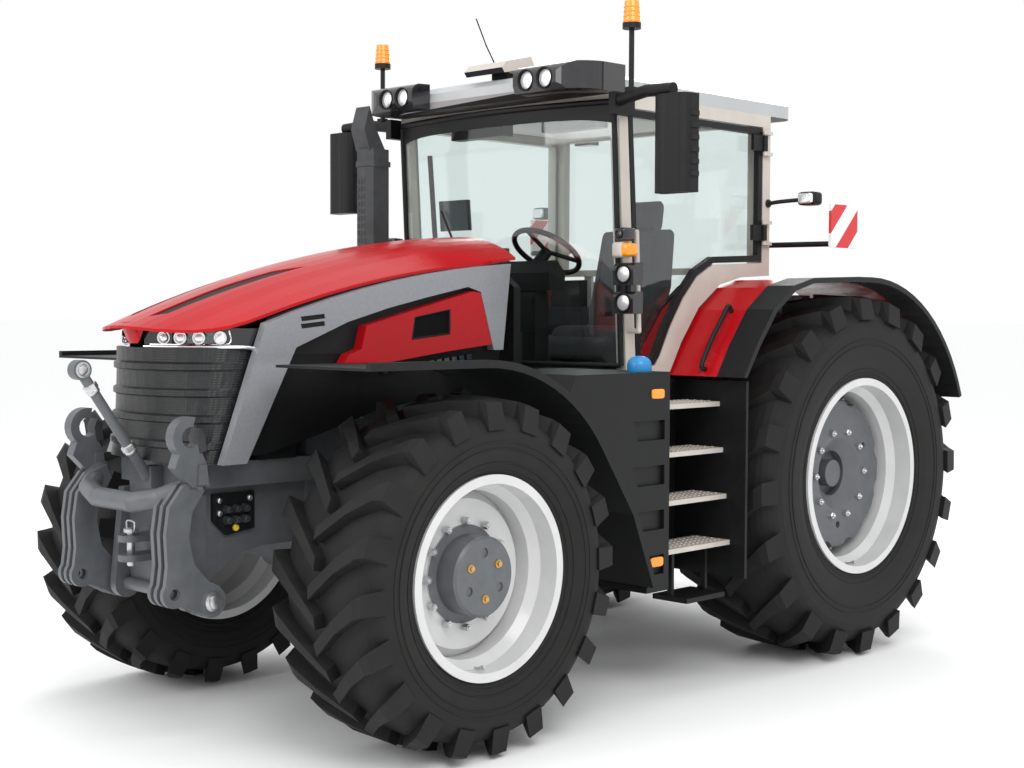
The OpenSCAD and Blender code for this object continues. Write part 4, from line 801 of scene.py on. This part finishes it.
def aerial():
    y = -0.10
    bm = bmesh.new()
    tube(bm, [at(1.60, y, 3.355), at(1.72, y, 3.52), at(1.80, y, 3.66)], 0.004, 6)
    lathe(bm, at(1.59, y, 3.345), (0.4, 0, 1), [(0.022, 0), (0.022, 0.01), (0.012, 0.03), (0.006, 0.04)], 16)
    piece("aerial", bm, "black", "chassis")


def tank_cap():
    """Blue domed cap on a ribbed neck, on the left tank only."""
    x, y = 1.78, 1.09
    dome = [(0.06, 0), (0.064, 0.01), (0.064, 0.05), (0.058, 0.07), (0.042, 0.086), (0.02, 0.094),
            (0.002, 0.095)]
    bm = bmesh.new()
    lathe(bm, at(x, y, 1.70), (0, 0, 1), dome, 32)
    piece("tank_cap", bm, "blue", "chassis")
    neck = [(0.068, 0), (0.068, 0.07), (0.074, 0.074), (0.074, 0.084), (0.066, 0.09)]
    rib_circle = 0.072
    bm = bmesh.new()
    lathe(bm, at(x, y, 1.62), (0, 0, 1), neck, 32)
    for a in angles(20):
        foot = at(x + rib_circle * math.cos(a), y + rib_circle * math.sin(a), 1.662)
        lathe(bm, foot, (0, 0, 1), [(0.005, 0), (0.005, 0.026), (0.003, 0.03)], 8)
    piece("tank_neck", bm, "black", "chassis")


def reflectors(side, s):
    bm = bmesh.new()
    for z in (0.72, 1.58):
        pod(bm, at(1.74, s * 1.221, z), at(1.84, s * 1.231, z + 0.05), 1, ends=lens_ends(0.94))
    piece(f"reflector_{side}", bm, "amber", "chassis")


FENDER_R = 1.152
REAR_LAMP_ANGLE = math.radians(122)
# Name, material, slot, inner and outer y, foot above the fender, half length and rise
REAR_LAMPS = (
    ("rear_lamp_base", "black", "black_plastic", 0.86, 1.16, 0, 0.055, 0.02),
    ("rear_lamp", "redlens", "amber", 1.02, 1.15, 0.016, 0.045, 0.046),
    ("rear_indicator", "amber", "amber", 0.87, 1.01, 0.016, 0.045, 0.046),
)


def rear_lamps(side, s):
    """Lamp cluster across the rear of the fender."""
    out = spoke(REAR_LAMP_ANGLE)
    run = Vector((-out.z, 0, out.x))
    fender = wheel_centre("rear", 0) + out * FENDER_R
    for name, mat, slot, y0, y1, foot, half, rise in REAR_LAMPS:
        low = fender + out * foot + Vector((0, s * y0, 0))
        high = low + out * rise
        top = half - 0.008
        outline = [low - run * half, low + run * half, high + run * top, high - run * top]
        bm = bmesh.new()
        plate(bm, outline, (0, s * (y1 - y0), 0))
        piece(f"{name}_{side}", bm, mat, "chassis", bevel=0.005)


def fender_bar(side, s):
    """Grab bar along the front of the rear fender."""
    line = ((1.208, 1.712), (1.245, 1.735), (1.16, 1.873), (1.068, 1.987), (1.012, 2.055), (0.978, 2.022))
    bm = bmesh.new()
    tube(bm, smooth_path([at(x, s * 1.08, z) for x, z in line], 6), 0.013)
    piece(f"fender_bar_{side}", bm, "black", "chassis")


def tread_studs():
    """Grip studs on the ladder treads."""
    first_top, rise, inset = 0.791, 0.249, 0.025
    bm = bmesh.new()
    for _, s in SIDES:
        for i in range(4):
            for k in range(13):
                for j in range(4):
                    foot = at(1.17 + 0.038 * k, s * (1.0 - inset * i + 0.05 * j), first_top + rise * i)
                    lathe(bm, foot, (0, 0, 1), [(0.009, 0), (0.008, 0.004), (0.005, 0.005)], 8)
    piece("tread_studs", bm, "beige", "chassis")


beacon_ribs()
aerial()
tank_cap()
for side, s in SIDES:
    reflectors(side, s)
    rear_lamps(side, s)
    fender_bar(side, s)
tread_studs()


# Front linkage, tow pin and couplers
def linkage_fittings():
    """Catch plates in the hooks and caps on the pivots, which move with the linkage."""
    catch = ((4.0, 1.40), (4.035, 1.39), (4.05, 1.46), (4.03, 1.50), (4.01, 1.47))
    cap = [(0.045, 0), (0.045, 0.012), (0.03, 0.016), (0.03, 0.028), (0.02, 0.032)]
    bm = bmesh.new()
    for _, s in SIDES:
        y0, y1 = sorted((s * 0.395, s * 0.465))
        plate(bm, [at(x, y0, z) for x, z in catch], (0, y1 - y0, 0))
    piece("hook_catches", bm, "steel", "front_lift", bevel=0.004)
    bm = bmesh.new()
    for _, s in SIDES:
        lathe(bm, at(3.962, s * 0.446, 0.72), (0, s, 0), cap, 20)
    piece("pivot_caps", bm, "zinc", "front_lift")


def tow_pin():
    """Pin in the clevis, with a wire handle."""
    x, handle_half = 4.10, 0.03
    shaft = [(0.014, 0), (0.019, 0.006), (0.019, 0.155), (0.034, 0.156), (0.034, 0.172), (0.02, 0.178)]
    handle = ((-handle_half, 1.012), (-handle_half, 1.05), (handle_half, 1.05), (handle_half, 1.012))
    bm = bmesh.new()
    lathe(bm, at(x, 0, 0.845), (0, 0, 1), shaft, 20)
    tube(bm, smooth_path([at(x, y, z) for y, z in handle], 6), 0.005, 8)
    piece("tow_pin", bm, "zinc", "chassis")


def coupler_plate():
    """Plate with hose couplers on the left side of the front frame."""
    back_y, face_y = 0.249, 0.266
    outline = ((3.60, 1.0), (3.76, 0.98), (3.835, 1.05), (3.835, 1.175), (3.60, 1.175))
    port = [(0.021, 0), (0.021, 0.012), (0.017, 0.02), (0.015, 0.034), (0.009, 0.036), (0.008, 0.03)]
    button = [(0.015, 0), (0.015, 0.008), (0.011, 0.013), (0.002, 0.015)]
    dot = [(0.016, 0), (0.016, 0.01), (0.012, 0.014), (0.002, 0.014)]
    bm = bmesh.new()
    plate(bm, [at(x, back_y, z) for x, z in outline], (0, 0.018, 0))
    piece("coupler_plate", bm, "black", "chassis", bevel=0.002)
    bm = bmesh.new()
    for z in (1.05, 1.10):
        for x in (3.66, 3.71, 3.76):
            lathe(bm, at(x, face_y - 0.001, z), (0, 1, 0), port, 18)
    piece("coupler_ports", bm, "steel", "chassis")
    bm = bmesh.new()
    for x, z in ((3.80, 1.145), (3.80, 1.085), (3.63, 1.145)):
        lathe(bm, at(x, face_y, z), (0, 1, 0), button, 18)
    piece("coupler_buttons", bm, "zinc", "chassis")
    bm = bmesh.new()
    lathe(bm, at(3.71, face_y, 1.012), (0, 1, 0), dot, 18)
    piece("coupler_dot", bm, "yellow", "chassis")


def link_fittings():
    """Ball in the eye of the front top link, and nuts with collars on its rod."""
    foot, eye = at(4.01, 0, 1.25), at(4.355, 0, 1.752)
    ball = [(0.036, 0), (0.036, 0.005), (0.028, 0.006), (0.024, 0.002), (0.021, 0.008), (0.012, 0.011),
            (0.002, 0.011)]
    collar = [(0.027, 0), (0.03, 0.004), (0.03, 0.016), (0.027, 0.02)]
    bm = bmesh.new()
    for _, s in SIDES:
        lathe(bm, eye + Vector((0, s * 0.027, 0)), (0, s, 0), ball, 24)
    run = (eye - foot).normalized()
    for along in (0.16, 0.50):
        hex_nut(bm, foot + run * along, run, 0.034, 0.03)
        lathe(bm, foot + run * (along - 0.02), run, collar, 20)
    piece("link_fittings", bm, "zinc", "chassis")


def casting_bolts():
    """Two rows of bolt heads along the engine block."""
    bm = bmesh.new()
    for _, s in SIDES:
        for k in range(7):
            for z, turn in ((1.02, 0.2), (1.50, 0.3)):
                hex_nut(bm, at(2.0 + 0.19 * k, s * 0.259, z), (0, s, 0), 0.013, 0.012, turn * k)
    piece("casting_bolts", bm, "zinc", "chassis", False)


linkage_fittings()
tow_pin()
coupler_plate()
link_fittings()
casting_bolts()


# Raised rings on the tyre walls
def wall_rings(axle, side, s):
    w = WHEELS[axle]
    flange_r = w["flange_r"]
    widest_r = w["bead_r"] + 0.55 * (w["tyre_r"] - w["bead_r"])
    centre = wheel_centre(axle, s)
    rings = ((flange_r + 0.030, 0.007), (flange_r + 0.055, 0.004), (widest_r - 0.03, 0.004),
             (widest_r, 0.006))
    bm = bmesh.new()
    for face in (1, -1):
        out = Vector((0, s * face, 0))
        for r, half in rings:
            t = (r - flange_r) / (widest_r - flange_r)
            wall = w["bead_half"] + (w["tyre_half"] - w["bead_half"]) * (1 - (1 - t) ** 2)
            section = ((-half, -0.004), (-half * 0.6, 0.003), (half * 0.6, 0.003), (half, -0.004))
            loft(bm, [[centre + spoke(a) * (r + q) + out * (wall + h) for q, h in section]
                      for a in angles(96)], closed=True)
    piece(f"{axle}_{side}_wall_rings", bm, "tyre", f"{axle}_{side}_rolling")


for axle in WHEELS:
    for side, s in SIDES:
        wall_rings(axle, side, s)

# Rear of the transaxle, and the exhaust
BACK_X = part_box("rear_transaxle")[0].x - REAR_AXLE_X


def oil_couplers(side, s):
    """Block with two rows of hose couplers and a bar above each, beside the top link bracket."""
    front_x = BACK_X - 0.03
    coupler = [(0.02, 0), (0.02, 0.018), (0.024, 0.02), (0.024, 0.034), (0.016, 0.036), (0.016, 0.026)]
    bm = bmesh.new()
    pod(bm, at(front_x, s * 0.12, 1.0), at(BACK_X + 0.004, s * 0.24, 1.15), 0, 0.25,
        ends=((0.0, 0.9), (0.2, 0.98), (0.4, 1.0), (1.0, 1.0)))
    for z in (1.069, 1.144):
        tube(bm, [at(front_x, s * 0.128, z), at(front_x, s * 0.232, z)], 0.005, 8)
    piece(f"oil_block_{side}", bm, "black", "chassis")
    bm = bmesh.new()
    for k in range(2):
        for j in range(2):
            foot = at(front_x + 0.002, s * (0.15 + 0.06 * k), 1.04 + 0.07 * j)
            lathe(bm, foot, (-1, 0, 0), coupler, 18)
    piece(f"oil_couplers_{side}", bm, "zinc", "chassis")


def exhaust_slot_shade():
    """Rows of black plates on the front of the heat shield, painted shade in place of its open slots."""
    face_x, half, height, pitch = 2.1452, 0.008, 0.024, 0.042
    bm = bmesh.new()
    for k in range(16):
        z = 2.12 + pitch * k
        for y in (-0.715, -0.69, -0.665):
            corners = ((y - half, z), (y + half, z), (y + half, z + height), (y - half, z + height))
            plate(bm, [at(face_x, cy, cz) for cy, cz in corners], (0.002, 0, 0))
    piece("exhaust_slot_shade", bm, "gloss", "chassis", False)


for side, s in SIDES:
    oil_couplers(side, s)
exhaust_slot_shade()

# Seat cushions
CLOTH_FRAMES = 20
MOST_SWELL = 0.02


def inflate(o):
    """Swell the cushion as cloth under pressure, by no more than MOST_SWELL."""
    before = [v.co.copy() for v in o.data.vertices]
    cloth = o.modifiers.new("cloth", "CLOTH")
    cloth.settings.use_pressure = True
    cloth.settings.uniform_pressure_force = 4.0
    cloth.settings.effector_weights.gravity = 0.0
    cloth.settings.tension_stiffness = 40
    cloth.point_cache.frame_start = 1
    cloth.point_cache.frame_end = CLOTH_FRAMES
    for f in range(1, CLOTH_FRAMES + 1):
        bpy.context.scene.frame_set(f)
    bpy.ops.object.modifier_apply(modifier="cloth")
    bpy.context.scene.frame_set(1)
    for v, b in zip(o.data.vertices, before):
        d = v.co - b
        if d.length > MOST_SWELL:
            v.co = b + d.normalized() * MOST_SWELL


def cushion(name, size, centre, tilt):
    """A pad with rounded corners, drawn in at both faces and tilted about the y axis."""
    w, d, h = size
    rings = []
    for k in range(5):
        z = -h / 2 + h * k / 4
        q = 1 - 0.10 * abs(k - 2) / 2
        rings.append([Vector((q * w / 2 * squared(math.cos(t), 0.35),
                              q * d / 2 * squared(math.sin(t), 0.35), z)) for t in angles(40)])
    bm = bmesh.new()
    loft(bm, rings)
    bmesh.ops.recalc_face_normals(bm, faces=bm.faces)
    mesh = bpy.data.meshes.new(name)
    bm.to_mesh(mesh)
    bm.free()
    o = bpy.data.objects.new(name, mesh)
    bpy.context.scene.collection.objects.link(o)
    bpy.context.view_layer.objects.active = o
    remesh = o.modifiers.new("remesh", "REMESH")
    remesh.mode = "VOXEL"
    remesh.voxel_size = 0.006
    bpy.ops.object.modifier_apply(modifier="remesh")
    inflate(o)
    o.data.transform(Matrix.Translation(Vector(centre)) @ Matrix.Rotation(math.radians(tilt), 4, "Y"))
    o.data.materials.append(MATERIALS["cloth"])
    for face in o.data.polygons:
        face.use_smooth = True
    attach(o, "chassis")


cushion("seat_cushion", (0.47, 0.48, 0.085), at(0.865, 0, 1.875), 0)
cushion("seat_back_cushion", (0.08, 0.44, 0.50), at(0.60, 0, 2.22), -10)


# Floor, background and light
def add_floor():
    bm = bmesh.new()
    bmesh.ops.create_grid(bm, x_segments=8, y_segments=8, size=300)
    mesh = bpy.data.meshes.new("floor")
    bm.to_mesh(mesh)
    bm.free()
    paint = material("floor_paint", (0.985, 0.985, 0.985), 0.95, vary=0.004, scale=2, shine=0.2)
    mesh.materials.append(paint)
    floor = bpy.data.objects.new("floor", mesh)
    floor.location = (0, 0, -0.001)
    bpy.context.scene.collection.objects.link(floor)


def add_world():
    """Near-white light all round, and plain white where the camera looks past the floor."""
    world = bpy.data.worlds.new("world")
    bpy.context.scene.world = world
    world.use_nodes = True
    nodes, links = world.node_tree.nodes, world.node_tree.links
    sky = nodes["Background"]
    sky.inputs["Color"].default_value = (0.99, 0.995, 1, 1)
    sky.inputs["Strength"].default_value = 1.0
    seen = nodes.new("ShaderNodeBackground")
    seen.inputs["Color"].default_value = (1, 1, 1, 1)
    seen.inputs["Strength"].default_value = 1.0
    path = nodes.new("ShaderNodeLightPath")
    mix = nodes.new("ShaderNodeMixShader")
    links.new(path.outputs["Is Camera Ray"], mix.inputs[0])
    links.new(sky.outputs[0], mix.inputs[1])
    links.new(seen.outputs[0], mix.inputs[2])
    links.new(mix.outputs[0], nodes["World Output"].inputs["Surface"])


def add_light(name, where, target, size, power):
    light = bpy.data.lights.new(name, "AREA")
    light.energy = power
    light.shape = "RECTANGLE"
    light.size, light.size_y = size
    o = bpy.data.objects.new(name, light)
    o.location = where
    o.rotation_euler = (Vector(target) - Vector(where)).to_track_quat("-Z", "Y").to_euler()
    bpy.context.scene.collection.objects.link(o)


add_floor()
add_world()
add_light("key", (4.5, 7.5, 8.0), (0, 0, 1.2), (6, 4), 430)
add_light("front_fill", (9.0, -2.0, 5.0), (0, 0, 1.4), (5, 4), 190)
add_light("top", (-1.0, 0.0, 9.5), (-0.5, 0, 0), (7, 6), 120)
add_light("rear_fill", (-8.0, -5.0, 6.0), (0, 0, 1.5), (5, 4), 260)

# Camera, fitted to the photo
CAMERA_PLACE = (6.3935, 6.2426, 2.0165)
CAMERA_YAW = math.radians(-135.556)
CAMERA_PITCH = math.radians(-2.633)
CAMERA_ROLL = math.radians(0.225)


def add_camera():
    camera = bpy.data.cameras.new("camera")
    camera.lens = 54.9
    camera.sensor_width = 36.0
    camera.clip_end = 1000
    o = bpy.data.objects.new("camera", camera)
    level_part = math.cos(CAMERA_PITCH)
    forward = Vector((level_part * math.cos(CAMERA_YAW), level_part * math.sin(CAMERA_YAW),
                      math.sin(CAMERA_PITCH)))
    level = forward.cross(Vector((0, 0, 1))).normalized()
    upright = level.cross(forward)
    right = level * math.cos(CAMERA_ROLL) + upright * math.sin(CAMERA_ROLL)
    up = upright * math.cos(CAMERA_ROLL) - level * math.sin(CAMERA_ROLL)
    o.matrix_world = Matrix.Translation(CAMERA_PLACE) @ Matrix((right, up, -forward)).transposed().to_4x4()
    bpy.context.scene.collection.objects.link(o)
    bpy.context.scene.camera = o


add_camera()
bpy.context.scene.view_settings.view_transform = "Standard"
